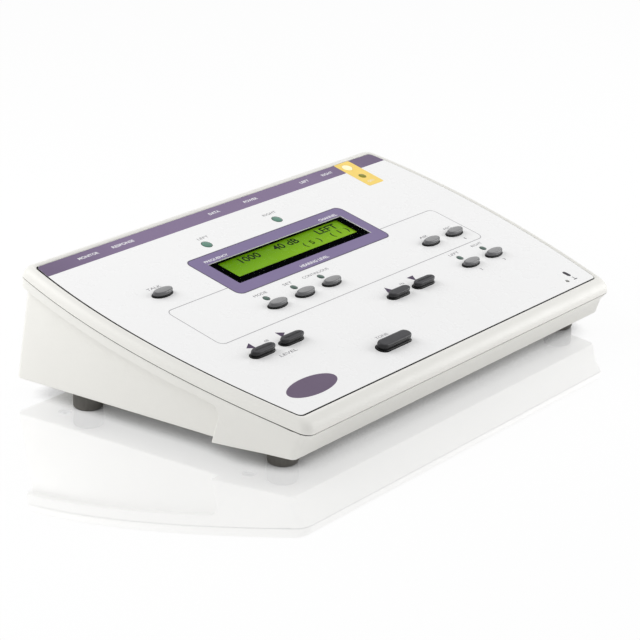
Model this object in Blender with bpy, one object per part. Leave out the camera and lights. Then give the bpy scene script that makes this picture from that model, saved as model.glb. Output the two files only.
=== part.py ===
"""Desktop audiometer: a two-shell wedge case with a sloping key panel, display, boards and rear sockets.

Metres, +Z up, +X to the user's right, +Y to the rear, origin on the table under the middle of the case.
The key panel is a plane of its own: the empty panel_frame lies on its front edge, x across, y up the
slope and z out of the face, and everything on the panel is placed in that frame.
"""

import math

import bmesh
import bpy
from mathutils import Matrix, Vector

# Panel and case outline
LABEL_FRONT_WIDTH = 0.2340
LABEL_DEPTH = 0.1510
LABEL_CORNER = 0.0030
SIDE_BOW = 0.0080
BOW_SKEW_SHARE = 0.22
SIDE_FLARE = 0.0070
PANEL_SLOPE = math.radians(12.5)
PANEL_FRONT_HEIGHT = 0.0275
RIM_SIDE = 0.0052
RIM_FRONT = 0.0080
RIM_REAR = 0.0050
RIM_DROP = 0.0050
RIM_PROUD = 0.0005
RIM_CORNER = 0.0055
RIM_CROWN_SHARES = ((1.0, 0.0), (0.97, 0.26), (0.87, 0.53), (0.68, 0.79), (0.42, 0.95), (0.14, 1.0))
LABEL_GROOVE = 0.0004
LABEL_THICKNESS = 0.0005
DECK_THICKNESS = 0.0021
SEAT_GAP = 0.0003
WALL = 0.0025
PARTING_GAP = 0.0003
TONGUE_THICKNESS = 0.0012
TONGUE_DEPTH = 0.0020
REBATE_WALL = 0.0013
CROWN_HAUNCH = 0.0011

# Lower case
FOOT_HEIGHT = 0.0085
LIP_HEIGHT = 0.0045
LIP_FRONT_DRAFT = 0.0024
LIP_DRAFT = 0.0005
BASE_FRONT = -0.0002
BASE_SIDE_DRAFT = 0.0026
BASE_FLARE_SHARE = 0.065
BASE_EDGE = 0.0005
BASE_CORNER = 0.0030
RECESS_DEPTH = 0.0040
RECESS_REAR_DEPTH = 0.0020
RECESS_OUT_FRONT = 0.0072
RECESS_OUT_REAR = 0.0156
RECESS_START = 0.0382
STEP_NOSE = 0.0026
STEP_NOSE_RISE = 0.0114
STEP_RADIUS = 0.0055
CUT_OVERRUN = 0.0040

# Places across are shares of the label's front width from the middle, and rows and places to the rear
# are shares of its depth from its front edge
COLUMN_PITCH_SHARE = 0.08547
FIRST_COLUMN_SHARE = -0.38718
ROW_TONE_SHARE = 0.10795
ROW_LEVEL_SHARE = 0.29007
ROW_MODE_SHARE = 0.45430
ROW_TALK_SHARE = 0.68609

# Keys
KEY_CLEARANCE = 0.0003
KEY_TRAVEL = 0.0008
KEY_BASE_PROUD = 0.0005
KEY_EAR = 0.0013
KEY_EAR_THICKNESS = 0.0008
KEY_STEM = 0.0018
KEY_STEM_LENGTH = 0.0007
KEY_ROUNDING_SHARE = 0.5
KEY_CROWN_SHARES = ((1.0, 1.0), (0.42, 0.88), (0.0, 0.55), (0.25, 0.15))

# Oval keys in shares of the column pitch: half of the straight part, then the half widths of the ends
# across and up the slope
ROUND_KEY_SHARES = (0, 0.315, 0.14)
LEVEL_KEY_SHARES = (0.19, 0.20, 0.1225)
TONE_KEY_SHARES = (0.395, 0.18, 0.165)

# Each kind's height over the label, and how far its crown stands in from its base ring
ROUND_KEY_CROWN = (0.0026, 0.00025)
LEVEL_KEY_CROWN = (0.0030, 0.00025)
TONE_KEY_CROWN = (0.0034, 0.0006)
RING_POINTS = 16

# Switches and boards under the keys
SWITCH_SIZE = 0.0060
SWITCH_HEIGHT = 0.0034
PLUNGER_RADIUS = 0.0017
PLUNGER_HEIGHT = 0.0008
BOARD_THICKNESS = 0.0016
MAIN_BOARD_HALF_SHARE = 0.44444
MAIN_BOARD_FRONT_SHARE = 0.06623
MAIN_BOARD_REAR_SHARE = 0.97351
PILLAR_RADIUS = 0.0025
PILLAR_SHARES = ((0.25641, 0.15894), (0.41453, 0.56954))

# Lamps
LAMP_PROUD = 0.0002
LAMP_CLEARANCE = 0.00015
LAMP_FLANGE = 0.0005
LAMP_FLANGE_HEIGHT = 0.0010
KEY_LAMP_RADIUS = 0.0015
KEY_LAMP_OFFSET = 0.0068
CHANNEL_LAMP_RADIUS = 0.0025
CHANNEL_LAMP_ROW_SHARE = 0.83179
CHANNEL_LAMP_SHARES = (-0.15214, 0.07137)
STATUS_COLUMN_SHARE = 0.42009
RESPONSE_LAMP_RADIUS = 0.0028
RESPONSE_LAMP_ROW_SHARE = 0.96424
POWER_LAMP_RADIUS = 0.0020
POWER_LAMP_ROW_SHARE = 0.89603
LAMP_POINTS = 12

# Display
WINDOW_WIDTH = 0.1000
WINDOW_DEPTH = 0.0195
WINDOW_ROW_SHARE = 0.67252
WINDOW_COLUMN_SHARE = -0.00171
VIEW_LEFT_BORDER = 0.0057
VIEW_RIGHT_BORDER = 0.0031
VIEW_FRONT_BORDER = 0.0050
WINDOW_CORNER = 0.0004
DISPLAY_FRAME_MARGIN = 0.0020
DISPLAY_FRAME_HEIGHT = 0.0045
DISPLAY_FRAME_SKIN = 0.0006
DISPLAY_GLASS_MARGIN = 0.0030
DISPLAY_GLASS_THICKNESS = 0.0028
DISPLAY_BOARD_SIDE = 0.0090
DISPLAY_BOARD_END = 0.00825
DISPLAY_POST_RADIUS = 0.0022
DISPLAY_POST_INSET = 0.0030

# Microphone
MIC_COLUMN_SHARE = 0.42821
MIC_ROW = 0.0060
MIC_HOLE_RADIUS = 0.0012
MIC_RADIUS = 0.0030
MIC_HEIGHT = 0.0027

# Feet and case screws
FOOT_RADIUS = 0.0069
FOOT_CHAMFER = 0.0008
FEET_SHARES = ((0.46752, 0.10), (0.51581, 0.78609))
SCREW_SHARES = ((0.48718, 0.19868), (0.50427, 0.90066))
SCREW_MEETS = (0.0205, 0.0240)
SCREW_HEAD_RADIUS = 0.0029
SCREW_HEAD_HEIGHT = 0.0022
SCREW_SHANK_RADIUS = 0.0015
SCREW_SUNK = 0.0006
SCREW_BITE = 0.0070
SCREW_SLOT_RADIUS = 0.0011
SCREW_SLOT_DEPTH = 0.0012
SCREW_CLEARANCE = 0.0003
LOWER_BOSS_RADIUS = 0.0046
UPPER_BOSS_RADIUS = 0.0038
BOSS_POINTS = 16

# Rear sockets and their board
SOCKET_BOARD_HALF_SHARE = 0.44872
SOCKET_BOARD_DEPTH = 0.0342
SOCKET_BOARD_GAP = 0.0017
POST_HEIGHT = 0.0027
POST_SHARES = ((0.40598, 0.0731), (0.19231, 0.8041))
JACK_COLUMN_SHARES = (-0.40385, -0.30556, 0.27094, 0.35085)
JACK_NAMES = ("monitor_jack", "response_jack", "earphone_jack_left", "earphone_jack_right")
JACK_WIDTH = 0.0150
JACK_LENGTH = 0.0230
JACK_HEIGHT = 0.0136
JACK_NOSE_RADIUS = 0.0052
JACK_NOSE_PROUD = 0.0012
JACK_BORE_RADIUS = 0.0033
JACK_BORE_DEPTH = 0.0210
SOCKET_CLEARANCE = 0.0003
DATA_COLUMN_SHARE = -0.02949
DATA_WIDTH = 0.0120
DATA_HEIGHT = 0.0109
DATA_LENGTH = 0.0165
DATA_PROUD = 0.0006
DATA_MOUTH_WIDTH = 0.0085
DATA_MOUTH_HEIGHT = 0.0079
DATA_MOUTH_DEPTH = 0.0090
DATA_TONGUE_WIDTH = 0.0056
DATA_TONGUE_HEIGHT = 0.0030
DATA_TONGUE_SETBACK = 0.0012
POWER_COLUMN_SHARE = 0.08803
POWER_WIDTH = 0.0090
POWER_HEIGHT = 0.0110
POWER_LENGTH = 0.0140
POWER_NOSE_RADIUS = 0.0042
POWER_NOSE_PROUD = 0.0006
POWER_BORE_RADIUS = 0.0031
POWER_BORE_DEPTH = 0.0095
POWER_PIN_RADIUS = 0.0010
POWER_PIN_SETBACK = 0.0010

SIDE_STATIONS_SHARES = (0.08, 0.16, 0.24, 0.30, 0.38, 0.48, 0.58, 0.68, 0.78, 0.88, 0.95)
CORNER_POINTS = 5
COS = math.cos(PANEL_SLOPE)
SIN = math.sin(PANEL_SLOPE)

# Heights in the panel's frame, and the two ends of the case on the table
DECK_TOP = -LABEL_THICKNESS - SEAT_GAP
DECK_UNDER = DECK_TOP - DECK_THICKNESS
UPPER_EDGE = -RIM_DROP + PARTING_GAP / 2
LOWER_EDGE = -RIM_DROP - PARTING_GAP / 2
TONGUE_END = -RIM_DROP - TONGUE_DEPTH
REBATE_FLOOR = TONGUE_END - SEAT_GAP
LIP_UNDER = LOWER_EDGE - LIP_HEIGHT
EAR_TOP = DECK_UNDER - SEAT_GAP
STEM_END = EAR_TOP - KEY_EAR_THICKNESS - KEY_STEM_LENGTH
PLUNGER_TOP = STEM_END - KEY_TRAVEL - SEAT_GAP
SWITCH_TOP = PLUNGER_TOP - PLUNGER_HEIGHT
SWITCH_FOOT = SWITCH_TOP - SWITCH_HEIGHT
MAIN_BOARD_TOP = SWITCH_FOOT - SEAT_GAP
FRAME_TOP = DECK_TOP
FRAME_FOOT = FRAME_TOP - DISPLAY_FRAME_HEIGHT
DISPLAY_BOARD_TOP = FRAME_FOOT - SEAT_GAP
FRONT_REACH = RIM_FRONT * COS + UPPER_EDGE * SIN
REAR_REACH = (LABEL_DEPTH + RIM_REAR - LIP_DRAFT) * COS - LIP_UNDER * SIN
PANEL_FRONT_Y = (FRONT_REACH - REAR_REACH) / 2
REAR_WALL_Y = (LABEL_DEPTH + RIM_REAR - RECESS_REAR_DEPTH) * COS - LIP_UNDER * SIN + PANEL_FRONT_Y
FLOOR_TOP = FOOT_HEIGHT + WALL
SOCKET_BOARD_UNDER = FLOOR_TOP + POST_HEIGHT + SEAT_GAP
SOCKET_SEAT = SOCKET_BOARD_UNDER + BOARD_THICKNESS + SEAT_GAP
INNER_REAR_Y = REAR_WALL_Y - WALL
SOCKET_BOARD_REAR_Y = INNER_REAR_Y - SOCKET_BOARD_GAP
SOCKET_BOARD_FRONT_Y = SOCKET_BOARD_REAR_Y - SOCKET_BOARD_DEPTH

# Places across and up the slope
COLUMN_PITCH = COLUMN_PITCH_SHARE * LABEL_FRONT_WIDTH
ROW_TONE = ROW_TONE_SHARE * LABEL_DEPTH
ROW_LEVEL = ROW_LEVEL_SHARE * LABEL_DEPTH
ROW_MODE = ROW_MODE_SHARE * LABEL_DEPTH
ROW_TALK = ROW_TALK_SHARE * LABEL_DEPTH
CHANNEL_LAMP_ROW = CHANNEL_LAMP_ROW_SHARE * LABEL_DEPTH
STATUS_COLUMN = STATUS_COLUMN_SHARE * LABEL_FRONT_WIDTH
WINDOW = (WINDOW_COLUMN_SHARE * LABEL_FRONT_WIDTH, WINDOW_ROW_SHARE * LABEL_DEPTH)
VIEW_WIDTH = WINDOW_WIDTH - VIEW_LEFT_BORDER - VIEW_RIGHT_BORDER
VIEW_DEPTH = WINDOW_DEPTH - VIEW_FRONT_BORDER
VIEW = (WINDOW[0] + (VIEW_LEFT_BORDER - VIEW_RIGHT_BORDER) / 2, WINDOW[1] + VIEW_FRONT_BORDER / 2)
DISPLAY_BOARD_HALF = WINDOW_WIDTH / 2 + DISPLAY_BOARD_SIDE
DISPLAY_BOARD_REACH = WINDOW_DEPTH / 2 + DISPLAY_BOARD_END
MIC_COLUMN = MIC_COLUMN_SHARE * LABEL_FRONT_WIDTH
DATA_COLUMN = DATA_COLUMN_SHARE * LABEL_FRONT_WIDTH
POWER_COLUMN = POWER_COLUMN_SHARE * LABEL_FRONT_WIDTH


def clear_scene():
    for obj in list(bpy.data.objects):
        bpy.data.objects.remove(obj, do_unlink=True)


def collection_named(name):
    made = bpy.data.collections.new(name)
    bpy.context.scene.collection.children.link(made)
    return made


def principled(name, colour, roughness, metallic=0.0):
    made = bpy.data.materials.new(name)
    made.use_nodes = True
    shader = made.node_tree.nodes["Principled BSDF"]
    shader.inputs["Base Color"].default_value = (*colour, 1.0)
    shader.inputs["Roughness"].default_value = roughness
    shader.inputs["Metallic"].default_value = metallic
    made.diffuse_color = (*colour, 1.0)
    return made


clear_scene()
PARTS = collection_named("audiometer")
CUTTERS = collection_named("audiometer_cutters")
CASE_WHITE = principled("case_white", (0.83, 0.82, 0.79), 0.42)
LABEL_WHITE = principled("label_white", (0.93, 0.93, 0.93), 0.35)
KEY_GREY = principled("key_grey", (0.20, 0.20, 0.20), 0.40)
KEY_CHARCOAL = principled("key_charcoal", (0.045, 0.045, 0.05), 0.42)
LAMP_GREEN = principled("lamp_green", (0.08, 0.30, 0.20), 0.25)
LAMP_PALE = principled("lamp_pale", (0.95, 0.90, 0.62), 0.25)
WINDOW_CLEAR = principled("window_clear", (0.85, 0.90, 0.85), 0.08)
FRAME_BLACK = principled("frame_black", (0.008, 0.008, 0.01), 0.35)
GLASS_GREEN = principled("glass_green", (0.16, 0.38, 0.015), 0.20)
BOARD_GREEN = principled("board_green", (0.02, 0.13, 0.06), 0.45)
SWITCH_BLACK = principled("switch_black", (0.02, 0.02, 0.02), 0.45)
RUBBER_BLACK = principled("rubber_black", (0.015, 0.015, 0.015), 0.85)
SCREW_STEEL = principled("screw_steel", (0.55, 0.56, 0.58), 0.30, 1.0)
SOCKET_BLACK = principled("socket_black", (0.02, 0.02, 0.022), 0.40)
SOCKET_METAL = principled("socket_metal", (0.70, 0.70, 0.72), 0.28, 1.0)
MIC_METAL = principled("mic_metal", (0.62, 0.62, 0.64), 0.35, 1.0)


def panel_frame():
    frame = bpy.data.objects.new("panel_frame", None)
    frame.location = (0, PANEL_FRONT_Y, PANEL_FRONT_HEIGHT)
    frame.rotation_euler = (PANEL_SLOPE, 0, 0)
    PARTS.objects.link(frame)
    return frame


PANEL = panel_frame()


def place(name, mesh, material, parent=None, origin=(0, 0, 0)):
    obj = bpy.data.objects.new(name, mesh)
    mesh.materials.append(material)
    obj.parent = parent
    obj.location = origin
    PARTS.objects.link(obj)
    return obj


def cutter(name, mesh, parent=None):
    obj = bpy.data.objects.new(name, mesh)
    obj.parent = parent
    obj.hide_render = True
    obj.display_type = "WIRE"
    CUTTERS.objects.link(obj)
    return obj


def boolean(obj, other, operation="DIFFERENCE"):
    step = obj.modifiers.new(operation.lower() + "_" + other.name, "BOOLEAN")
    step.operation = operation
    step.object = other
    step.solver = "EXACT"


def smooth(mesh, angle=math.radians(35)):
    mesh.shade_smooth()
    mesh.set_sharp_from_angle(angle=angle)


def mesh_of(name, bm):
    bmesh.ops.recalc_face_normals(bm, faces=bm.faces[:])
    mesh = bpy.data.meshes.new(name)
    bm.to_mesh(mesh)
    bm.free()
    smooth(mesh)
    return mesh


def add_loft(bm, rings):
    """Joins rings of equal count into one closed skin, with a face over the first ring and the last."""
    loops = [[bm.verts.new(point) for point in ring] for ring in rings]
    count = len(rings[0])
    for near, far in zip(loops, loops[1:]):
        for i in range(count):
            j = (i + 1) % count
            bm.faces.new((near[i], near[j], far[j], far[i]))
    bm.faces.new(loops[0])
    bm.faces.new(reversed(loops[-1]))


def loft(name, rings):
    bm = bmesh.new()
    add_loft(bm, rings)
    return mesh_of(name, bm)


def add_box(bm, low, high):
    size = Vector(high) - Vector(low)
    middle = (Vector(high) + Vector(low)) / 2
    bmesh.ops.create_cube(bm, size=1, matrix=Matrix.Translation(middle) @ Matrix.Diagonal((*size, 1)))


def box(name, low, high):
    bm = bmesh.new()
    add_box(bm, low, high)
    return mesh_of(name, bm)


def oval_ring(oval, centre, height, count=RING_POINTS):
    """Oval with two straight sides along x: its points at one height."""
    straight, across, along = oval
    points = []
    for i in range(count):
        turn = 2 * math.pi * (i + 0.5) / count
        x = across * math.cos(turn) + math.copysign(straight, math.cos(turn))
        points.append(Vector((centre[0] + x, centre[1] + along * math.sin(turn), height)))
    return points


def round_ring(radius, centre, height, count=RING_POINTS):
    return oval_ring((0, radius, radius), centre, height, count)


def grown(oval, step):
    straight, across, along = oval
    return straight, across + step, along + step


def add_rod(bm, radius, low, high, count=BOSS_POINTS, axis="Z"):
    """Plain rod between two points on a line along Z or Y."""
    low = Vector(low)
    high = Vector(high)
    turn = Matrix.Rotation(math.pi / 2, 4, "X") if axis == "Y" else Matrix.Identity(4)
    bmesh.ops.create_cone(
        bm,
        cap_ends=True,
        segments=count,
        radius1=radius,
        radius2=radius,
        depth=(high - low).length,
        matrix=Matrix.Translation((low + high) / 2) @ turn,
    )


def turned(name, profile, centre, count):
    """Turned piece: profile is (radius, height) from one end to the other."""
    return loft(name, [round_ring(radius, centre, height, count) for radius, height in profile])


# Case outline


def label_half(y):
    """Half width of the label at a distance up the slope: straight flare plus a bow, fuller to the rear."""
    share = y / LABEL_DEPTH
    bow = SIDE_BOW * 4 * share * (1 - share) * (1 + BOW_SKEW_SHARE * (share - 0.5))
    return LABEL_FRONT_WIDTH / 2 + bow + SIDE_FLARE * share


def side_slope(y):
    step = LABEL_DEPTH / 100
    return (label_half(y + step) - label_half(y - step)) / (2 * step)


def corner(end_y, side, radius, sign):
    """Arc that meets the straight end and the bowed side: sign is -1 at the front and 1 at the rear."""
    touch = end_y
    for _ in range(6):
        slope = side_slope(touch)
        normal = Vector((1, -slope)).normalized()
        touch = end_y - sign * radius + radius * normal.y
    centre = Vector((label_half(touch) + side(touch), touch)) - normal * radius
    last = math.atan2(normal.y, normal.x)
    first = sign * math.pi / 2
    turns = [first + (last - first) * i / (CORNER_POINTS - 1) for i in range(CORNER_POINTS)]
    return [centre + radius * Vector((math.cos(t), math.sin(t))) for t in turns]


def outline(side, front, rear, radius):
    """Closed outline in the panel's plane, grown from the label's: side is a length or a function of y."""
    grow = side if callable(side) else (lambda y: side)
    front_arc = corner(-front, grow, radius, -1)
    rear_arc = corner(LABEL_DEPTH + rear, grow, radius, 1)
    stations = [share * LABEL_DEPTH for share in SIDE_STATIONS_SHARES]
    flank = [Vector((label_half(y) + grow(y), y)) for y in stations]
    right = front_arc + flank + list(reversed(rear_arc))
    left = [Vector((-point.x, point.y)) for point in reversed(right)]
    return right + left


def panel_ring(points, height):
    return [Vector((point.x, point.y, height)) for point in points]


def to_world(point):
    """Takes a point of the panel's frame to the table's."""
    return Vector(
        (
            point.x,
            PANEL_FRONT_Y + point.y * COS - point.z * SIN,
            PANEL_FRONT_HEIGHT + point.y * SIN + point.z * COS,
        )
    )


def world_ring(points, height):
    return [to_world(point) for point in panel_ring(points, height)]


def flat_ring(points, height):
    """An outline whose y is measured back from the label's front edge along the table."""
    return [Vector((point.x, PANEL_FRONT_Y + point.y, height)) for point in points]


def base_outline(front, half_at, rear, radius):
    """Outline of the underside, symmetrical about x = 0."""
    count = len(SIDE_STATIONS_SHARES) + 2
    front_turns = [math.pi / 2 * (i / (CORNER_POINTS - 1) - 1) for i in range(CORNER_POINTS)]
    centre = Vector((half_at(front) - radius, front + radius))
    right = [centre + radius * Vector((math.cos(t), math.sin(t))) for t in front_turns]
    run = rear - front - 2 * radius
    for i in range(1, count - 1):
        y = front + radius + run * i / (count - 1)
        right.append(Vector((half_at(y), y)))
    centre = Vector((half_at(rear) - radius, rear - radius))
    right += [centre + radius * Vector((math.cos(-t), math.sin(-t))) for t in reversed(front_turns)]
    left = [Vector((-point.x, point.y)) for point in reversed(right)]
    return right + left


def rim_outline(inset):
    return outline(RIM_SIDE - inset, RIM_FRONT - inset, RIM_REAR - inset, RIM_CORNER - inset)


def label_outline(grow):
    return outline(grow, grow, grow, LABEL_CORNER + grow)


def crown_outline(share):
    """Between the rim's outer edge at 1 and the edge of the label's recess at 0."""
    low = LABEL_GROOVE
    return outline(
        low + (RIM_SIDE - low) * share,
        low + (RIM_FRONT - low) * share,
        low + (RIM_REAR - low) * share,
        LABEL_CORNER + low + (RIM_CORNER - LABEL_CORNER - low) * share,
    )


def recess_half(y):
    """Half width of the recessed wall at its foot: a straight flare to the rear."""
    share = (y - RECESS_START) / (LABEL_DEPTH - RECESS_START)
    return LABEL_FRONT_WIDTH / 2 + RECESS_OUT_FRONT + (RECESS_OUT_REAR - RECESS_OUT_FRONT) * share


def flush_half(y):
    """Half width of the underside where the wall is flush with the rim: it flares more than the label."""
    draft = BASE_SIDE_DRAFT - BASE_FLARE_SHARE * min(y, RECESS_START)
    return max(label_half(y) + RIM_SIDE - draft, recess_half(y))


REAR_FOOT = REAR_WALL_Y - PANEL_FRONT_Y
CORE_SIDE = RIM_SIDE - RECESS_DEPTH
CORE_REAR = RIM_REAR - RECESS_REAR_DEPTH


def core_rings(inset, low):
    """Recessed walls from the lip down to the underside, drawn in by a wall's thickness for the inside."""
    top = outline(CORE_SIDE - inset, RIM_FRONT - inset, CORE_REAR - inset, BASE_CORNER - inset)
    foot = base_outline(
        BASE_FRONT + inset, lambda y: recess_half(y) - inset, REAR_FOOT - inset, BASE_CORNER - inset
    )
    return world_ring(top, LIP_UNDER), flat_ring(foot, low)


# Places of the keys and lamps


def spots(shares):
    """Places on the panel from shares of its width and depth."""
    return [(x * LABEL_FRONT_WIDTH, y * LABEL_DEPTH) for x, y in shares]


def column(index):
    return FIRST_COLUMN_SHARE * LABEL_FRONT_WIDTH + index * COLUMN_PITCH


def key_oval(shares):
    return tuple(share * COLUMN_PITCH for share in shares)


TALK_KEYS = [(column(0), ROW_TALK)]
DISPLAY_KEYS = [(column(i), ROW_MODE) for i in (2, 3, 4)]
RIGHT_KEYS = [(column(i), ROW_MODE) for i in (8, 9)]
MODE_KEYS = [(column(i), ROW_LEVEL) for i in (8, 9)]
ROUND_KEYS = TALK_KEYS + DISPLAY_KEYS + RIGHT_KEYS + MODE_KEYS
LEVEL_KEYS = [(column(i), ROW_LEVEL) for i in (0, 1, 5, 6)]
TONE_KEY = (column(3), ROW_TONE)
KEY_LAMPS = [(x, y + KEY_LAMP_OFFSET) for x, y in DISPLAY_KEYS + MODE_KEYS]
CHANNEL_LAMPS = [(x * LABEL_FRONT_WIDTH, CHANNEL_LAMP_ROW) for x in CHANNEL_LAMP_SHARES]
STATUS_LAMPS = [(STATUS_COLUMN, y * LABEL_DEPTH) for y in (RESPONSE_LAMP_ROW_SHARE, POWER_LAMP_ROW_SHARE)]


def all_keys():
    """(name, place, oval, crown, material) of every key."""
    keys = []
    for i, spot in enumerate(ROUND_KEYS):
        keys.append((f"round_key_{i + 1}", spot, key_oval(ROUND_KEY_SHARES), ROUND_KEY_CROWN, KEY_GREY))
    for i, spot in enumerate(LEVEL_KEYS):
        keys.append((f"level_key_{i + 1}", spot, key_oval(LEVEL_KEY_SHARES), LEVEL_KEY_CROWN, KEY_CHARCOAL))
    keys.append(("tone_key", TONE_KEY, key_oval(TONE_KEY_SHARES), TONE_KEY_CROWN, KEY_CHARCOAL))
    return keys


def all_lamps():
    """(name, place, radius, material) of every lamp."""
    lamps = [(f"key_lamp_{i + 1}", spot, KEY_LAMP_RADIUS, LAMP_GREEN) for i, spot in enumerate(KEY_LAMPS)]
    for i, spot in enumerate(CHANNEL_LAMPS):
        lamps.append((f"channel_lamp_{i + 1}", spot, CHANNEL_LAMP_RADIUS, LAMP_GREEN))
    lamps.append(("response_lamp", STATUS_LAMPS[0], RESPONSE_LAMP_RADIUS, LAMP_PALE))
    lamps.append(("power_lamp", STATUS_LAMPS[1], POWER_LAMP_RADIUS, LAMP_GREEN))
    return lamps


# Holes that the label and the deck share


def panel_holes():
    bm = bmesh.new()
    low = DECK_UNDER - CUT_OVERRUN / 4
    high = CUT_OVERRUN
    for _, spot, oval, _, _ in all_keys():
        hole = grown(oval, KEY_CLEARANCE)
        add_loft(bm, [oval_ring(hole, spot, z) for z in (low, high)])
    for _, spot, radius, _ in all_lamps():
        hole = radius + LAMP_CLEARANCE
        add_loft(bm, [round_ring(hole, spot, z, LAMP_POINTS) for z in (low, high)])
    add_loft(bm, [round_ring(MIC_HOLE_RADIUS, (MIC_COLUMN, MIC_ROW), z, LAMP_POINTS) for z in (low, high)])
    return cutter("panel_holes", mesh_of("panel_holes", bm), PANEL)


def window_ring(width, depth, centre, height):
    """Rectangle with its four corners cut by the named corner size."""
    points = []
    for sx, sy in ((1, -1), (1, 1), (-1, 1), (-1, -1)):
        x = centre[0] + sx * width / 2
        y = centre[1] + sy * depth / 2
        ends = [(x - sx * WINDOW_CORNER, y), (x, y - sy * WINDOW_CORNER)]
        if sx == sy:
            ends.reverse()
        points += [Vector((a, b, height)) for a, b in ends]
    return points


def label_window_cut():
    grow = 2 * SEAT_GAP
    rings = [
        window_ring(WINDOW_WIDTH + grow, WINDOW_DEPTH + grow, WINDOW, z) for z in (DECK_TOP, CUT_OVERRUN)
    ]
    return cutter("label_window_cut", loft("label_window_cut", rings), PANEL)


def deck_window_cut():
    grow = 2 * (DISPLAY_FRAME_MARGIN + SEAT_GAP)
    low = DECK_UNDER - CUT_OVERRUN / 2
    rings = [window_ring(WINDOW_WIDTH + grow, WINDOW_DEPTH + grow, WINDOW, z) for z in (low, CUT_OVERRUN)]
    return cutter("deck_window_cut", loft("deck_window_cut", rings), PANEL)


# Upper case: one closed skin from the underside of the deck, round the tongue and the rim, to its top


def upper_shell():
    tongue_out = WALL - TONGUE_THICKNESS + SEAT_GAP
    tongue_in = tongue_out + TONGUE_THICKNESS
    rings = [
        panel_ring(rim_outline(tongue_in + CROWN_HAUNCH), DECK_UNDER),
        panel_ring(rim_outline(tongue_in), DECK_UNDER - CROWN_HAUNCH),
        panel_ring(rim_outline(tongue_in), TONGUE_END),
        panel_ring(rim_outline(tongue_out), TONGUE_END),
        panel_ring(rim_outline(tongue_out), UPPER_EDGE),
    ]
    for share, rise in RIM_CROWN_SHARES:
        rings.append(panel_ring(crown_outline(share), UPPER_EDGE + (RIM_PROUD - UPPER_EDGE) * rise))
    rings.append(panel_ring(crown_outline(0), RIM_PROUD - SEAT_GAP))
    rings.append(panel_ring(crown_outline(0), DECK_TOP))
    return loft("upper_case", rings)


def upper_pillars():
    """Pillars that carry the main board, and posts that carry the display board."""
    bm = bmesh.new()
    top = (DECK_TOP + DECK_UNDER) / 2
    for x, y in spots(PILLAR_SHARES):
        for side in (-1, 1):
            low = (side * x, y, MAIN_BOARD_TOP + SEAT_GAP)
            add_rod(bm, PILLAR_RADIUS, low, (side * x, y, top), LAMP_POINTS)
    for side in (-1, 1):
        for end in (-1, 1):
            x = WINDOW[0] + side * (DISPLAY_BOARD_HALF - DISPLAY_POST_INSET)
            y = WINDOW[1] + end * (DISPLAY_BOARD_REACH - DISPLAY_POST_INSET)
            foot = (x, y, DISPLAY_BOARD_TOP + SEAT_GAP)
            add_rod(bm, DISPLAY_POST_RADIUS, foot, (x, y, top), LAMP_POINTS)
    return cutter("upper_pillars", mesh_of("upper_pillars", bm), PANEL)


def deck_height(y):
    """Height of the middle of the deck above the table, y measured back from the label's front edge."""
    middle = (DECK_TOP + DECK_UNDER) / 2
    return PANEL_FRONT_HEIGHT + y * math.tan(PANEL_SLOPE) + middle / COS


def screw_spots():
    """(x, y on the table, y from the label's edge, height where the two bosses meet) of each screw."""
    places = []
    for (x, y), meet in zip(spots(SCREW_SHARES), SCREW_MEETS):
        for side in (-1, 1):
            places.append((side * x, PANEL_FRONT_Y + y, y, meet))
    return places


def upper_bosses():
    bm = bmesh.new()
    for x, y, back, meet in screw_spots():
        add_rod(bm, UPPER_BOSS_RADIUS, (x, y, meet + SEAT_GAP), (x, y, deck_height(back)))
    return cutter("upper_bosses", mesh_of("upper_bosses", bm))


def upper_boss_bores():
    bm = bmesh.new()
    radius = SCREW_SHANK_RADIUS + SCREW_CLEARANCE
    for x, y, _, meet in screw_spots():
        low = (x, y, meet - CUT_OVERRUN)
        add_rod(bm, radius, low, (x, y, meet + SCREW_BITE + SCREW_CLEARANCE), LAMP_POINTS)
    return cutter("upper_boss_bores", mesh_of("upper_boss_bores", bm))


def upper_case(holes):
    obj = place("upper_case", upper_shell(), CASE_WHITE, PANEL)
    boolean(obj, upper_pillars(), "UNION")
    boolean(obj, upper_bosses(), "UNION")
    boolean(obj, upper_boss_bores())
    boolean(obj, deck_window_cut())
    boolean(obj, holes)


# Lower case: a flush tub, cut back under the lip from the step to the rear


def lower_shell():
    inner_top, inner_foot = core_rings(WALL, FLOOR_TOP)
    rebate = WALL - TONGUE_THICKNESS + SEAT_GAP
    rebate_in = outline(CORE_SIDE - WALL, RIM_FRONT - WALL, CORE_REAR - WALL, BASE_CORNER - WALL)
    draft = LIP_DRAFT
    lip = outline(RIM_SIDE - draft, RIM_FRONT - LIP_FRONT_DRAFT, RIM_REAR - draft, RIM_CORNER - draft)
    foot = base_outline(BASE_FRONT, flush_half, REAR_FOOT, BASE_CORNER)
    step = BASE_EDGE
    corner = BASE_CORNER - step
    edge = base_outline(BASE_FRONT + step, lambda y: flush_half(y) - step, REAR_FOOT - step, corner)
    rings = [
        inner_foot,
        world_ring(rebate_in, REBATE_FLOOR),
        world_ring(rim_outline(rebate - SEAT_GAP), REBATE_FLOOR),
        world_ring(rim_outline(rebate - SEAT_GAP), LOWER_EDGE),
        world_ring(rim_outline(0), LOWER_EDGE),
        world_ring(lip, LIP_UNDER),
        flat_ring(foot, FOOT_HEIGHT + BASE_EDGE),
        flat_ring(edge, FOOT_HEIGHT),
    ]
    return loft("lower_case", rings)


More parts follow.
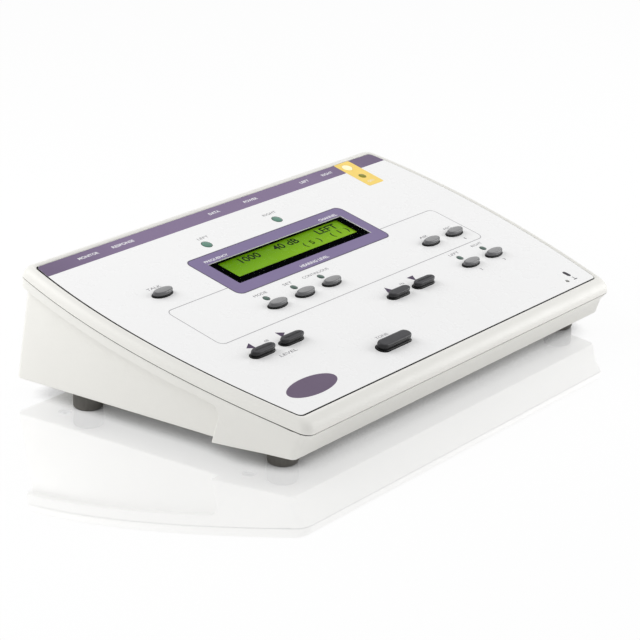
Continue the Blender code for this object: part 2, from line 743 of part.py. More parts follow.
def recess_core():
    """The recessed walls as a solid: what the recess leaves standing."""
    over = CUT_OVERRUN
    top, foot = core_rings(0, FOOT_HEIGHT + BASE_EDGE)
    _, edge = core_rings(BASE_EDGE, FOOT_HEIGHT)
    _, under = core_rings(BASE_EDGE, FOOT_HEIGHT - 2 * over)
    lift = Vector((0, -over * SIN, over * COS))
    above = [point + lift for point in top]
    return cutter("recess_core", loft("recess_core", [above, top, foot, edge, under]))


def recess_profile():
    """Side view of the recess: under the lip at the top, and the rounded step at its front."""
    start = PANEL_FRONT_Y + RECESS_START
    nose_height = FOOT_HEIGHT + STEP_NOSE_RISE
    lip_at_step = to_world(Vector((0, RECESS_START / COS, LIP_UNDER))).z
    centre = Vector((start - STEP_NOSE + STEP_RADIUS, lip_at_step - STEP_RADIUS))
    turns = [math.pi - (math.pi / 2 - PANEL_SLOPE) * i / CORNER_POINTS for i in range(CORNER_POINTS)]
    arc = [centre + STEP_RADIUS * Vector((math.cos(t), math.sin(t))) for t in turns]
    far = to_world(Vector((0, LABEL_DEPTH + RIM_REAR + CUT_OVERRUN, LIP_UNDER)))
    near = to_world(Vector((0, (RECESS_START + STEP_RADIUS) / COS, LIP_UNDER)))
    under = FOOT_HEIGHT - CUT_OVERRUN
    low = [Vector((start, under)), Vector((start, FOOT_HEIGHT + BASE_EDGE))]
    nose = Vector((start - STEP_NOSE, min(nose_height, centre.y)))
    back = [near.yz, far.yz, Vector((far.y, under))]
    return low + [nose] + arc[1:] + back


def recess_cut():
    reach = LABEL_FRONT_WIDTH / 2 + SIDE_BOW + SIDE_FLARE + RIM_SIDE + CUT_OVERRUN
    rings = [[Vector((x, point.x, point.y)) for point in recess_profile()] for x in (-reach, reach)]
    obj = cutter("recess_cut", loft("recess_cut", rings))
    boolean(obj, recess_core())
    return obj


def lower_bosses():
    bm = bmesh.new()
    low = (FOOT_HEIGHT + FLOOR_TOP) / 2
    for x, y, _, meet in screw_spots():
        add_rod(bm, LOWER_BOSS_RADIUS, (x, y, low), (x, y, meet))
    for share, back in POST_SHARES:
        y = SOCKET_BOARD_FRONT_Y + back * SOCKET_BOARD_DEPTH
        for side in (-1, 1):
            x = side * share * LABEL_FRONT_WIDTH
            add_rod(bm, PILLAR_RADIUS, (x, y, low), (x, y, SOCKET_BOARD_UNDER - SEAT_GAP), LAMP_POINTS)
    return cutter("lower_bosses", mesh_of("lower_bosses", bm))


def head_seat():
    return FOOT_HEIGHT + SCREW_SUNK + SCREW_HEAD_HEIGHT


def lower_bores():
    """Through bore and counterbore of each screw."""
    bm = bmesh.new()
    bore = SCREW_SHANK_RADIUS + SCREW_CLEARANCE
    sink = SCREW_HEAD_RADIUS + SCREW_CLEARANCE
    for x, y, _, meet in screw_spots():
        under = FOOT_HEIGHT - CUT_OVERRUN
        seat = head_seat() + SEAT_GAP
        over = meet + CUT_OVERRUN
        widths = ((sink, under), (sink, seat), (bore, seat), (bore, over))
        add_loft(bm, [round_ring(radius, (x, y), z, LAMP_POINTS) for radius, z in widths])
    return cutter("lower_bores", mesh_of("lower_bores", bm))


def jack_height():
    return SOCKET_SEAT + JACK_HEIGHT / 2


def jack_columns():
    return [share * LABEL_FRONT_WIDTH for share in JACK_COLUMN_SHARES]


def socket_cuts():
    """Holes of the rear wall, one for each socket."""
    bm = bmesh.new()
    low = INNER_REAR_Y - CUT_OVERRUN
    high = REAR_WALL_Y + CUT_OVERRUN
    for x in jack_columns():
        ends = [(x, y, jack_height()) for y in (low, high)]
        add_rod(bm, JACK_NOSE_RADIUS + SOCKET_CLEARANCE, *ends, axis="Y")
    grow = SOCKET_CLEARANCE
    half = DATA_WIDTH / 2 + grow
    top = SOCKET_SEAT + DATA_HEIGHT + grow
    add_box(bm, (DATA_COLUMN - half, low, SOCKET_SEAT - grow), (DATA_COLUMN + half, high, top))
    middle = SOCKET_SEAT + POWER_HEIGHT / 2
    ends = [(POWER_COLUMN, y, middle) for y in (low, high)]
    add_rod(bm, POWER_NOSE_RADIUS + grow, *ends, axis="Y")
    return cutter("socket_cuts", mesh_of("socket_cuts", bm))


def lower_case():
    obj = place("lower_case", lower_shell(), CASE_WHITE)
    boolean(obj, recess_cut())
    boolean(obj, lower_bosses(), "UNION")
    boolean(obj, lower_bores())
    boolean(obj, socket_cuts())


# Label and display


def label_panel(holes):
    rings = [panel_ring(label_outline(0), z) for z in (-LABEL_THICKNESS, 0)]
    obj = place("label_panel", loft("label_panel", rings), LABEL_WHITE, PANEL)
    boolean(obj, label_window_cut())
    boolean(obj, holes)


def display_window():
    rings = [window_ring(WINDOW_WIDTH, WINDOW_DEPTH, WINDOW, z) for z in (-LABEL_THICKNESS, 0)]
    place("display_window", loft("display_window", rings), WINDOW_CLEAR, PANEL)


def display_frame():
    margin = 2 * DISPLAY_FRAME_MARGIN
    outer = [
        window_ring(WINDOW_WIDTH + margin, WINDOW_DEPTH + margin, WINDOW, z) for z in (FRAME_FOOT, FRAME_TOP)
    ]
    obj = place("display_frame", loft("display_frame", outer), FRAME_BLACK, PANEL)
    view = [window_ring(VIEW_WIDTH, VIEW_DEPTH, VIEW, z) for z in (FRAME_FOOT, FRAME_TOP + CUT_OVERRUN)]
    boolean(obj, cutter("view_cut", loft("view_cut", view), PANEL))
    width = WINDOW_WIDTH + margin - 2 * DISPLAY_FRAME_SKIN
    depth = WINDOW_DEPTH + margin - 2 * DISPLAY_FRAME_SKIN
    top = FRAME_TOP - DISPLAY_FRAME_SKIN
    pocket = [window_ring(width, depth, WINDOW, z) for z in (FRAME_FOOT - CUT_OVERRUN, top)]
    boolean(obj, cutter("frame_pocket", loft("frame_pocket", pocket), PANEL))


def display_glass():
    margin = 2 * (DISPLAY_FRAME_SKIN + SEAT_GAP) - 2 * DISPLAY_FRAME_MARGIN
    top = FRAME_TOP - DISPLAY_FRAME_SKIN - SEAT_GAP
    width = WINDOW_WIDTH - margin
    depth = WINDOW_DEPTH - margin
    rings = [window_ring(width, depth, WINDOW, z) for z in (DISPLAY_BOARD_TOP + SEAT_GAP, top)]
    place("display_glass", loft("display_glass", rings), GLASS_GREEN, PANEL)


def display_board():
    x, y = WINDOW
    low = (x - DISPLAY_BOARD_HALF, y - DISPLAY_BOARD_REACH, DISPLAY_BOARD_TOP - BOARD_THICKNESS)
    high = (x + DISPLAY_BOARD_HALF, y + DISPLAY_BOARD_REACH, DISPLAY_BOARD_TOP)
    place("display_board", box("display_board", low, high), BOARD_GREEN, PANEL)


def main_board():
    half = MAIN_BOARD_HALF_SHARE * LABEL_FRONT_WIDTH
    low = (-half, MAIN_BOARD_FRONT_SHARE * LABEL_DEPTH, MAIN_BOARD_TOP - BOARD_THICKNESS)
    high = (half, MAIN_BOARD_REAR_SHARE * LABEL_DEPTH, MAIN_BOARD_TOP)
    place("main_board", box("main_board", low, high), BOARD_GREEN, PANEL)


# Keys, switches, lamps and microphone


def key(name, spot, oval, crown, material):
    """Crown over a base ring, a shank through the deck, two ears that stop it below, and a stem."""
    here = (0, 0)
    proud, flange = crown
    rise = proud - KEY_BASE_PROUD
    rings = []
    for inset, share in KEY_CROWN_SHARES:
        body = grown(oval, -flange - KEY_ROUNDING_SHARE * oval[2] * inset)
        rings.append(oval_ring(body, here, KEY_BASE_PROUD + rise * share))
    straight, across, along = grown(oval, KEY_CLEARANCE / 2)
    ears = (straight + KEY_EAR, across, along)
    rings += [
        oval_ring(oval, here, KEY_BASE_PROUD),
        oval_ring(oval, here, EAR_TOP),
        oval_ring(ears, here, EAR_TOP),
        oval_ring(ears, here, EAR_TOP - KEY_EAR_THICKNESS),
        round_ring(KEY_STEM, here, EAR_TOP - KEY_EAR_THICKNESS),
        round_ring(KEY_STEM, here, STEM_END),
    ]
    place(name, loft(name, rings), material, PANEL, (*spot, 0))


def switch_mesh():
    """Square body with a round plunger on top."""
    half = SWITCH_SIZE / 2

    def square(height):
        steps = ((1, 0), (1, 1), (0, 1), (-1, 1), (-1, 0), (-1, -1), (0, -1), (1, -1))
        return [Vector((half * a, half * b, height)) for a, b in steps]

    def disc(height):
        turns = [math.pi / 4 * i for i in range(8)]
        return [Vector((PLUNGER_RADIUS * math.cos(t), PLUNGER_RADIUS * math.sin(t), height)) for t in turns]

    rings = [square(SWITCH_FOOT), square(SWITCH_TOP), disc(SWITCH_TOP), disc(PLUNGER_TOP)]
    return loft("key_switch", rings)


def lamp(name, spot, radius, material):
    """Lens flush with the label, a straight body and a flange that stands on the main board."""
    foot = MAIN_BOARD_TOP + SEAT_GAP
    flange = foot + LAMP_FLANGE_HEIGHT
    body = radius - LAMP_FLANGE
    profile = ((body, LAMP_PROUD), (radius, 0), (radius, DECK_UNDER), (body, DECK_UNDER), (body, flange))
    profile += ((radius, flange), (radius, foot))
    place(name, turned(name, profile, (0, 0), LAMP_POINTS), material, PANEL, (*spot, 0))


def microphone():
    profile = ((MIC_RADIUS, DECK_UNDER - SEAT_GAP), (MIC_RADIUS, DECK_UNDER - SEAT_GAP - MIC_HEIGHT))
    mesh = turned("microphone", profile, (0, 0), BOSS_POINTS)
    place("microphone", mesh, MIC_METAL, PANEL, (MIC_COLUMN, MIC_ROW, 0))


# Feet, screws, sockets


def feet():
    top = FOOT_HEIGHT - SEAT_GAP
    profile = ((FOOT_RADIUS - FOOT_CHAMFER, 0), (FOOT_RADIUS, FOOT_CHAMFER), (FOOT_RADIUS, top))
    number = 0
    for x, back in spots(FEET_SHARES):
        for side in (-1, 1):
            number += 1
            name = f"foot_{number}"
            spot = (side * x, PANEL_FRONT_Y + back, 0)
            place(name, turned(name, profile, (0, 0), BOSS_POINTS), RUBBER_BLACK, None, spot)


def screws():
    head = SCREW_HEAD_RADIUS
    shank = SCREW_SHANK_RADIUS
    for number, (x, y, _, meet) in enumerate(screw_spots(), 1):
        foot = FOOT_HEIGHT + SCREW_SUNK
        seat = head_seat()
        tip = meet + SCREW_BITE
        slot = foot + SCREW_SLOT_DEPTH
        profile = (
            (SCREW_SLOT_RADIUS, slot),
            (SCREW_SLOT_RADIUS, foot),
            (head, foot),
            (head, seat),
            (shank, seat),
            (shank, tip),
        )
        name = f"case_screw_{number}"
        place(name, turned(name, profile, (0, 0), LAMP_POINTS), SCREW_STEEL, None, (x, y, 0))


def socket_board():
    half = SOCKET_BOARD_HALF_SHARE * LABEL_FRONT_WIDTH
    low = (-half, SOCKET_BOARD_FRONT_Y, SOCKET_BOARD_UNDER)
    high = (half, SOCKET_BOARD_REAR_Y, SOCKET_BOARD_UNDER + BOARD_THICKNESS)
    place("socket_board", box("socket_board", low, high), BOARD_GREEN)


def bored_socket(name, x, size, nose_radius, proud, bore_radius, bore_depth, pin=None):
    """Box body behind the rear wall and a round nose through it, with a blind bore from the rear."""
    width, length, height = size
    rear = INNER_REAR_Y - SEAT_GAP
    middle = SOCKET_SEAT + height / 2
    mouth = REAR_WALL_Y + proud
    low = (x - width / 2, rear - length, SOCKET_SEAT)
    obj = place(name, box(name, low, (x + width / 2, rear, SOCKET_SEAT + height)), SOCKET_BLACK)
    bm = bmesh.new()
    add_rod(bm, nose_radius, (x, rear - WALL, middle), (x, mouth, middle), axis="Y")
    boolean(obj, cutter(name + "_nose", mesh_of(name + "_nose", bm)), "UNION")
    bm = bmesh.new()
    ends = ((x, mouth - bore_depth, middle), (x, mouth + CUT_OVERRUN, middle))
    add_rod(bm, bore_radius, *ends, axis="Y")
    bore = cutter(name + "_bore", mesh_of(name + "_bore", bm))
    if pin:
        radius, setback = pin
        bm = bmesh.new()
        ends = ((x, mouth - bore_depth - WALL, middle), (x, mouth - setback, middle))
        add_rod(bm, radius, *ends, count=LAMP_POINTS, axis="Y")
        boolean(bore, cutter(name + "_pin", mesh_of(name + "_pin", bm)))
    boolean(obj, bore)


def jacks():
    size = (JACK_WIDTH, JACK_LENGTH, JACK_HEIGHT)
    for name, x in zip(JACK_NAMES, jack_columns()):
        bored_socket(name, x, size, JACK_NOSE_RADIUS, JACK_NOSE_PROUD, JACK_BORE_RADIUS, JACK_BORE_DEPTH)


def power_inlet():
    size = (POWER_WIDTH, POWER_LENGTH, POWER_HEIGHT)
    pin = (POWER_PIN_RADIUS, POWER_PIN_SETBACK)
    bore = (POWER_BORE_RADIUS, POWER_BORE_DEPTH)
    bored_socket("power_inlet", POWER_COLUMN, size, POWER_NOSE_RADIUS, POWER_NOSE_PROUD, *bore, pin)


def data_socket():
    x = DATA_COLUMN
    mouth = REAR_WALL_Y + DATA_PROUD
    middle = SOCKET_SEAT + DATA_HEIGHT / 2
    low = (x - DATA_WIDTH / 2, mouth - DATA_LENGTH, SOCKET_SEAT)
    high = (x + DATA_WIDTH / 2, mouth, SOCKET_SEAT + DATA_HEIGHT)
    obj = place("data_socket", box("data_socket", low, high), SOCKET_METAL)
    bottom = mouth - DATA_MOUTH_DEPTH
    half = (DATA_MOUTH_WIDTH / 2, DATA_MOUTH_HEIGHT / 2)
    low = (x - half[0], bottom, middle - half[1])
    high = (x + half[0], mouth + CUT_OVERRUN, middle + half[1])
    opening = cutter("data_mouth", box("data_mouth", low, high))
    half = (DATA_TONGUE_WIDTH / 2, DATA_TONGUE_HEIGHT / 2)
    low = (x - half[0], bottom - WALL, middle - half[1])
    high = (x + half[0], mouth - DATA_TONGUE_SETBACK, middle + half[1])
    boolean(opening, cutter("data_tongue", box("data_tongue", low, high)))
    boolean(obj, opening)


def build():
    holes = panel_holes()
    lower_case()
    upper_case(holes)
    label_panel(holes)
    display_window()
    display_frame()
    display_glass()
    display_board()
    main_board()
    socket_board()
    for name, spot, oval, crown, material in all_keys():
        key(name, spot, oval, crown, material)
        switch = name.replace("key", "switch")
        place(switch, switch_mesh(), SWITCH_BLACK, PANEL, (*spot, 0))
    for name, spot, radius, material in all_lamps():
        lamp(name, spot, radius, material)
    microphone()
    feet()
    screws()
    jacks()
    data_socket()
    power_inlet()


build()
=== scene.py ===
# %% [markdown]
# # A desktop audiometer
# A hearing tester of this kind is a low wedge: a white two-shell case, a printed key panel that
# slopes to the user, a two-line text display, thirteen sprung keys, small lamps and a row of
# sockets at the rear. The measured solids come in as a fixed frame. This script gives them their
# finer shapes, their print and their finishes, one piece at a time.

# %% Load the frame
import math

import bmesh
import bpy
from mathutils import Matrix, Vector


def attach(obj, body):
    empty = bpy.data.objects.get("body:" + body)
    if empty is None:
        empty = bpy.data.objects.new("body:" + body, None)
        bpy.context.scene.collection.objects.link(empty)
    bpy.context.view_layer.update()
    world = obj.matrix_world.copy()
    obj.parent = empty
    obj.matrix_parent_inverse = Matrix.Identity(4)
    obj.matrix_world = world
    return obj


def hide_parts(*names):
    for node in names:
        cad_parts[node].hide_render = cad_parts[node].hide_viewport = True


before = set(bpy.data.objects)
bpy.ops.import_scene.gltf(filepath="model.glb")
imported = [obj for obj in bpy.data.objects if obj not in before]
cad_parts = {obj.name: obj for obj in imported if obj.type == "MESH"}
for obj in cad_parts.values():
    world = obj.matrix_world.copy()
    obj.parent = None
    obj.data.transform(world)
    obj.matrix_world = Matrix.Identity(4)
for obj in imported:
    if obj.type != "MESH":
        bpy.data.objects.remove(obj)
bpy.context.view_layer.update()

# %% [markdown]
# ## The panel's own plane
# Everything on the sloping face is drawn in millimetres on the panel's own plane, as its drawing
# would be: x across, y up the slope from the front edge of the label, z out of the face. One
# matrix then takes a finished piece to the table, in metres. The label's outline is the base of
# nearly every other one, so its half width comes first, as a function of y.

# %% Places
MM = Matrix.Scale(0.001, 4)
PANEL_FRONT = (0, -73.571, 27.5)
PANEL_TILT = math.radians(12.5)
SLOPE = Matrix.Translation(PANEL_FRONT) @ Matrix.Rotation(PANEL_TILT, 4, "X")
ON_PANEL = MM @ SLOPE

LABEL_DEPTH = 151
LABEL_CORNER = 3
HALF_FRONT, FLARE, BOW, BOW_SKEW = 117, 7, 32, 0.22


def label_half(y):
    """Half width of the label: bowed sides that also flare to the rear."""
    share = y / LABEL_DEPTH
    bow = BOW * share * (1 - share) * (1 + BOW_SKEW * (share - 0.5))
    return HALF_FRONT + bow + FLARE * share


widths = [round(2 * label_half(y), 1) for y in (0, LABEL_DEPTH)]
print("label", widths[0], "mm wide at the front,", widths[1], "at the rear")

# %% [markdown]
# ## The camera
# The photograph looks down at the case from its left front corner, from a little over a metre
# away. The camera was found by fitting the label's edges, so it needs no shift of the lens.

# %% Camera
CAMERA_PLACE = (-0.773722, -0.5880136, 0.384522)
CAMERA_TURN = (69.37571934, -1.53406141, -51.82108542)

lens = bpy.data.cameras.new("camera")
lens.lens = 122.5867
lens.sensor_width = 36
camera = bpy.data.objects.new("camera", lens)
camera.location = CAMERA_PLACE
camera.rotation_euler = [math.radians(a) for a in CAMERA_TURN]
bpy.context.scene.collection.objects.link(camera)
bpy.context.scene.camera = camera
bpy.context.scene.view_settings.view_transform = "Standard"
print("camera", round(camera.location.length, 2), "m from the middle of the case")

# %% [markdown]
# ## Adding nodes
# A material is a small graph of nodes. Made by hand, each node takes one line and each of its
# inputs another. Two helpers keep that short: an input that is given a number or a colour keeps
# it on its own socket, and one that is given another node's output is linked to it.

# %% Node helpers


def fill(tree, node, inputs):
    """Sets inputs of a node, each to a plain value or to the output of another node."""
    for label, value in inputs.items():
        if isinstance(value, bpy.types.NodeSocket):
            tree.links.new(value, node.inputs[label])
        else:
            node.inputs[label].default_value = value
    return node


def add(tree, kind, inputs=None, **settings):
    """A new shader node. Its settings are made first, because they decide which inputs it has."""
    node = tree.nodes.new("ShaderNode" + kind)
    for label, value in settings.items():
        setattr(node, label, value)
    return fill(tree, node, inputs or {})


print("node helpers ready")

# %% [markdown]
# ## A white studio
# A white room lit from all round hides nothing and shifts no colour. The world is plain white
# where the camera, gloss or glass looks at it, and dimmer where it only lights the object. The
# alternative, a brighter world, would wash the white case out.

# %% World
WORLD_LIGHT = 0.62

world = bpy.data.worlds.new("white studio")
bpy.context.scene.world = world
world.use_nodes = True
tree = world.node_tree
tree.nodes.clear()
path = add(tree, "LightPath").outputs
rays = {0: path["Is Camera Ray"], 1: path["Is Glossy Ray"]}
either = add(tree, "Math", rays, operation="MAXIMUM").outputs[0]
rays = {0: either, 1: path["Is Transmission Ray"]}
seen = add(tree, "Math", rays, operation="MAXIMUM").outputs[0]
strength = add(tree, "MapRange", {"Value": seen, "To Min": WORLD_LIGHT, "To Max": 1})
white = {"Color": (1, 1, 1, 1), "Strength": strength.outputs["Result"]}
back = add(tree, "Background", white)
add(tree, "OutputWorld", {"Surface": back.outputs["Background"]})
print("world light", WORLD_LIGHT)

# %% [markdown]
# ## Lamps and floor
# Two wide soft lamps stand close by, one at the left and behind, one at the right and in front.
# Each wall grows darker away from its lamp, so the near corner is the darkest place, as in the
# photograph. The floor is one large sheet, which gets its finish further on.

# %% Lamps and floor
STUDIO_LAMPS = {"left lamp": (2.6, (-0.4, 0.46, 0.5)), "right lamp": (3.2, (0.74, -0.42, 0.32))}
LAMP_SIZE = 0.5
FLOOR_HALF = 6

for name, (power, place) in STUDIO_LAMPS.items():
    light = bpy.data.lights.new(name, "AREA")
    light.energy = power
    light.size = LAMP_SIZE
    holder = bpy.data.objects.new(name, light)
    holder.location = place
    holder.rotation_euler = (-Vector(place)).to_track_quat("-Z", "Y").to_euler()
    bpy.context.scene.collection.objects.link(holder)

bm = bmesh.new()
bmesh.ops.create_grid(bm, x_segments=1, y_segments=1, size=FLOOR_HALF)
mesh = bpy.data.meshes.new("floor")
bm.to_mesh(mesh)
bm.free()
floor = bpy.data.objects.new("floor", mesh)
bpy.context.scene.collection.objects.link(floor)
print("lamps", STUDIO_LAMPS, "floor", 2 * FLOOR_HALF, "m wide")

# %% [markdown]
# ## Shared surface effects
# Moulded plastic is never one flat colour. Three small effects are built once as node groups and
# used with other values in each finish. All three start from a soft noise, so the helpers for a
# group, a noise, a spread and a blend of two colours come first.

# %% Group helpers
FLOAT, VECTOR, COLOUR = "NodeSocketFloat", "NodeSocketVector", "NodeSocketColor"


def group(name, inputs, output, kind):
    """An empty node group on a vector, what it is given, and the node that takes its result."""
    made = bpy.data.node_groups.new(name, "ShaderNodeTree")
    made.interface.new_socket("Vector", in_out="INPUT", socket_type=VECTOR)
    for label, (socket_type, value) in inputs.items():
        socket = made.interface.new_socket(label, in_out="INPUT", socket_type=socket_type)
        socket.default_value = value
    made.interface.new_socket(output, in_out="OUTPUT", socket_type=kind)
    return made, made.nodes.new("NodeGroupInput").outputs, made.nodes.new("NodeGroupOutput")


def noise(tree, vector, scale, detail, roughness=0.5):
    """Soft noise on a vector, from 0 to 1."""
    inputs = {"Vector": vector, "Scale": scale, "Detail": detail, "Roughness": roughness}
    return add(tree, "TexNoise", inputs).outputs["Fac"]


def spread(tree, value, low, high):
    """Takes the middle of a noise, 0.3 to 0.7, to the range low to high."""
    inputs = {"Value": value, "From Min": 0.3, "From Max": 0.7, "To Min": low, "To Max": high}
    return add(tree, "MapRange", inputs).outputs["Result"]


def blend(tree, share, first, last):
    """Colour that goes from first to last as the share goes from 0 to 1."""
    inputs = {"Factor": share, "A": first, "B": last}
    return add(tree, "Mix", inputs, data_type="RGBA").outputs["Result"]


print("group sockets", FLOAT, VECTOR, COLOUR)

# %% [markdown]
# ## Grain, tone and polish
# The first group is the fine spark-eroded grain of the mould, the second the slow change of tone
# across a moulding, and the third the faint polish that hands leave, which changes only how
# sharply the surface shines. Each works on Object coordinates in metres, so its scale counts
# grains or patches per metre.

# %% Node groups
per_metre = {"Grain per metre": (FLOAT, 1500.0)}
GRAIN, given, result = group("mould grain", per_metre, "Height", FLOAT)
pits = noise(GRAIN, given["Vector"], given["Grain per metre"], 3, 0.6)
fill(GRAIN, result, {"Height": pits})

colours = {"Colour": (COLOUR, (1, 1, 1, 1)), "Darker colour": (COLOUR, (0.9, 0.9, 0.9, 1))}
colours["Patches per metre"] = (FLOAT, 12.0)
TONE, given, result = group("moulding tone", colours, "Colour", COLOUR)
slow = noise(TONE, given["Vector"], given["Patches per metre"], 4, 0.55)
share = spread(TONE, slow, 0.0, 1.0)
fill(TONE, result, {"Colour": blend(TONE, share, given["Colour"], given["Darker colour"])})

ends = {"Smoothest": (FLOAT, 0.3), "Roughest": (FLOAT, 0.45), "Patches per metre": (FLOAT, 60.0)}
POLISH, given, result = group("handled polish", ends, "Roughness", FLOAT)
touched = noise(POLISH, given["Vector"], given["Patches per metre"], 5, 0.6)
fill(POLISH, result, {"Roughness": spread(POLISH, touched, given["Smoothest"], given["Roughest"])})
print("groups", [made.name for made in bpy.data.node_groups])

# %% [markdown]
# ## How a finish is made
# Each finish is one Principled shader that the three effects feed: a tone that drifts by a few
# percent, a roughness that varies, and a bump as deep as the real grain. Constants such as the
# metal value sit on the shader's own sockets.

# %% Finish helpers
SMEARS_PER_METRE = 60


def linear(r, g, b):
    """Screen colour, 0 to 255, as the linear colour that a shader takes."""
    shares = [v / 255 for v in (r, g, b)]
    return tuple(((v + 0.055) / 1.055) ** 2.4 if v > 0.04 else v / 12.92 for v in shares)


def use(tree, made, vector, **values):
    """Puts a node group in a material, on a vector, with its own values."""
    node = tree.nodes.new("ShaderNodeGroup")
    node.node_tree = made
    inputs = {label.replace("_", " ").capitalize(): value for label, value in values.items()}
    return fill(tree, node, {"Vector": vector, **inputs}).outputs[0]


def new_material(name):
    """A material, its node tree, its Principled shader and its Object coordinates."""
    made = bpy.data.materials.new(name)
    made.use_nodes = True
    tree = made.node_tree
    return made, tree, tree.nodes["Principled BSDF"], add(tree, "TexCoord").outputs["Object"]


def finish(name, colour, rough, grain=None, tone=0.05, patches=12, metal=0.0, gloss=0.5):
    """rough is (smoothest, roughest), and grain is (grains per metre, depth in metres)."""
    made, tree, shader, where = new_material(name)
    full = (*linear(*colour), 1)
    dark = (*(v * (1 - tone) for v in full[:3]), 1)
    paint = use(tree, TONE, where, colour=full, darker_colour=dark, patches_per_metre=patches)
    low, high = rough
    sheen = use(
        tree, POLISH, where, smoothest=low, roughest=high, patches_per_metre=SMEARS_PER_METRE
    )
    fill(tree, shader, {"Base Color": paint, "Roughness": sheen})
    fill(tree, shader, {"Metallic": metal, "Specular IOR Level": gloss})
    if grain:
        pits = use(tree, GRAIN, where, grain_per_metre=grain[0])
        bump = add(tree, "Bump", {"Height": pits, "Distance": grain[1], "Strength": 1})
        fill(tree, shader, {"Normal": bump.outputs["Normal"]})
    made.diffuse_color = full
    return made


print("white of the case", [round(v, 3) for v in linear(237, 236, 231)])

# %% [markdown]
# ## Plastics and metals
# The case is a warm white satin plastic and the label a smooth film. The keys' flanks are a
# darker copy of their plastic, painted shade, so the tops read lighter than the flanks. Rubber
# and board lacquer have a coarser grain than the keys, and the metals nearly none.

# %% Plastics and metals
MOULD, FINE_MOULD = (2200, 0.000012), (2600, 0.000008)
CASE = finish("satin case plastic", (237, 236, 231), (0.34, 0.46), MOULD, 0.02, 9, gloss=0.4)
LABEL = finish(
    "printed panel film", (247, 247, 247), (0.24, 0.32), (900, 0.000004), 0.008, 14, gloss=0.25
)
# The flank colours are painted shade: darker copies of the key plastics for the crowns' sides.
KEY_PLASTICS = {
    "grey key plastic": ((144, 144, 145), (0.30, 0.42), 0.06, 0.5),
    "grey key flank painted shade": ((96, 96, 98), (0.26, 0.38), 0.08, 0.45),
    "charcoal key plastic": ((46, 46, 50), (0.34, 0.46), 0.10, 0.35),
    "charcoal key flank painted shade": ((32, 32, 34), (0.28, 0.4), 0.1, 0.35),
    # The skirt colour is painted shade: the dark of the gap in the key's hole.
    "key skirt painted shade": ((16, 16, 17), (0.3, 0.4), 0.1, 0.2),
}
KEY_GREY, KEY_GREY_SHADED_FLANK, KEY_CHARCOAL, KEY_CHARCOAL_SHADED_FLANK, KEY_SKIRT_SHADE = [
    finish(name, colour, rough, FINE_MOULD, tone, 90, gloss=gloss)
    for name, (colour, rough, tone, gloss) in KEY_PLASTICS.items()
]
SURROUND = finish(
    "display surround", (5, 6, 7), (0.45, 0.55), (1800, 0.000006), 0.2, 60, gloss=0.0
)
BOARD = finish("circuit board lacquer", (28, 98, 60), (0.22, 0.36), (700, 0.00001), 0.25, 150)
SWITCH = finish("switch plastic", (30, 30, 31), (0.35, 0.5), (2600, 0.00001), 0.1, 90)
SOCKET = finish("socket plastic", (30, 30, 32), (0.32, 0.46), (2400, 0.00001), 0.12, 90)
RUBBER = finish("moulded rubber", (98, 96, 92), (0.62, 0.8), (1600, 0.00002), 0.15, 60, gloss=0.3)
SHADE = finish("shaded seam", (26, 25, 25), (0.6, 0.8), None, 0.1, 60, gloss=0.1)
METALS = {
    "bright steel": ((190, 192, 196), (0.2, 0.34), (3200, 0.000006), 0.08, 200),
    "plated shell": ((214, 214, 216), (0.16, 0.3), (3200, 0.000004), 0.06, 160),
    "microphone can": ((196, 197, 199), (0.26, 0.4), (3000, 0.000006), 0.08, 200),
}
STEEL, PLATED, CAPSULE = [finish(name, *row, metal=1.0) for name, row in METALS.items()]
print("plastics and metals", len(bpy.data.materials))

# %% [markdown]
# ## Inks
# Screen ink is a dull and nearly flat film. All the inks share one recipe and differ in colour
# and in how evenly they lie. The long violet band is darker towards its two ends: a share of
# black is blended in there, by the distance from the middle of the panel.

# %% Inks


def ink(name, colour, tone=0.06, patches=60, rough=(0.36, 0.44)):
    return finish(name, colour, rough, (3000, 0.000002), tone, patches, gloss=0.1)


def darken_ends(made, start, end, share):
    """Blends a share of black in, from none at the distance start to all of it at end."""
    tree = made.node_tree
    shader = tree.nodes["Principled BSDF"]
    where = add(tree, "TexCoord").outputs["Object"]
    across = add(tree, "SeparateXYZ", {"Vector": where}).outputs["X"]
    away = add(tree, "Math", {0: across}, operation="ABSOLUTE").outputs["Value"]
    inputs = {"Value": away, "From Min": start, "From Max": end, "To Max": share}
    dark = add(tree, "MapRange", inputs).outputs["Result"]
    even = shader.inputs["Base Color"].links[0].from_socket
    fill(tree, shader, {"Base Color": blend(tree, dark, even, (0, 0, 0, 1))})


# Painted shade: the dark ring round each teal lamp's hole, made with the ink recipe.
LAMP_GAP_SHADE = ink("lamp gap painted shade", (58, 74, 66), 0.1, 200)
INK_BAND = ink("dusky violet ink", (133, 116, 148), 0.04, 7)
darken_ends(INK_BAND, 0.07, 0.12, 0.28)
INK_VIOLET = ink("violet ink", (131, 118, 156), 0.05, 30)
INK_PLUM = ink("plum ink", (110, 96, 118))
INK_ARROW = ink("dark plum ink", (82, 68, 92))
INK_EDGE = ink("slate edge ink", (92, 86, 104), 0.05)
INK_WHITE = ink("white ink", (240, 240, 243), 0.02)
INK_GREY = ink("grey ink", (128, 127, 131), 0.08)
INK_PALE = ink("pale grey ink", (176, 176, 178), 0.04)
INK_AMBER = ink("amber ink", (255, 222, 120), 0.06, 90, (0.34, 0.42))
INK_SIGN = ink("dark sign ink", (62, 58, 66), 0.08)
GLYPH = finish("display characters", (24, 40, 10), (0.25, 0.35), None, 0.15, 200, gloss=0.02)
print("finishes", len(bpy.data.materials))

# %% [markdown]
# ## The floor's finish
# The object stands on a polished white sheet. To the light it is plain matt white, so it throws
# soft light back at the sides. To the eye it is also half a mirror, which shows the underside
# and the walls, and a share of it is painted light, an emission that keeps the shadow pale. Close
# under the object, within a few centimetres, ambient occlusion turns this painted light down,
# which paints the dark line of contact as a painted shadow. Light Path's Is Camera Ray tells
# the eye from the light.

# %% Floor finish
# Share of painted light for the eye, and the reach of the painted contact shadow.
PAINTED_LIGHT_SHARE = 0.58
PAINTED_SHADOW_REACH = 0.026


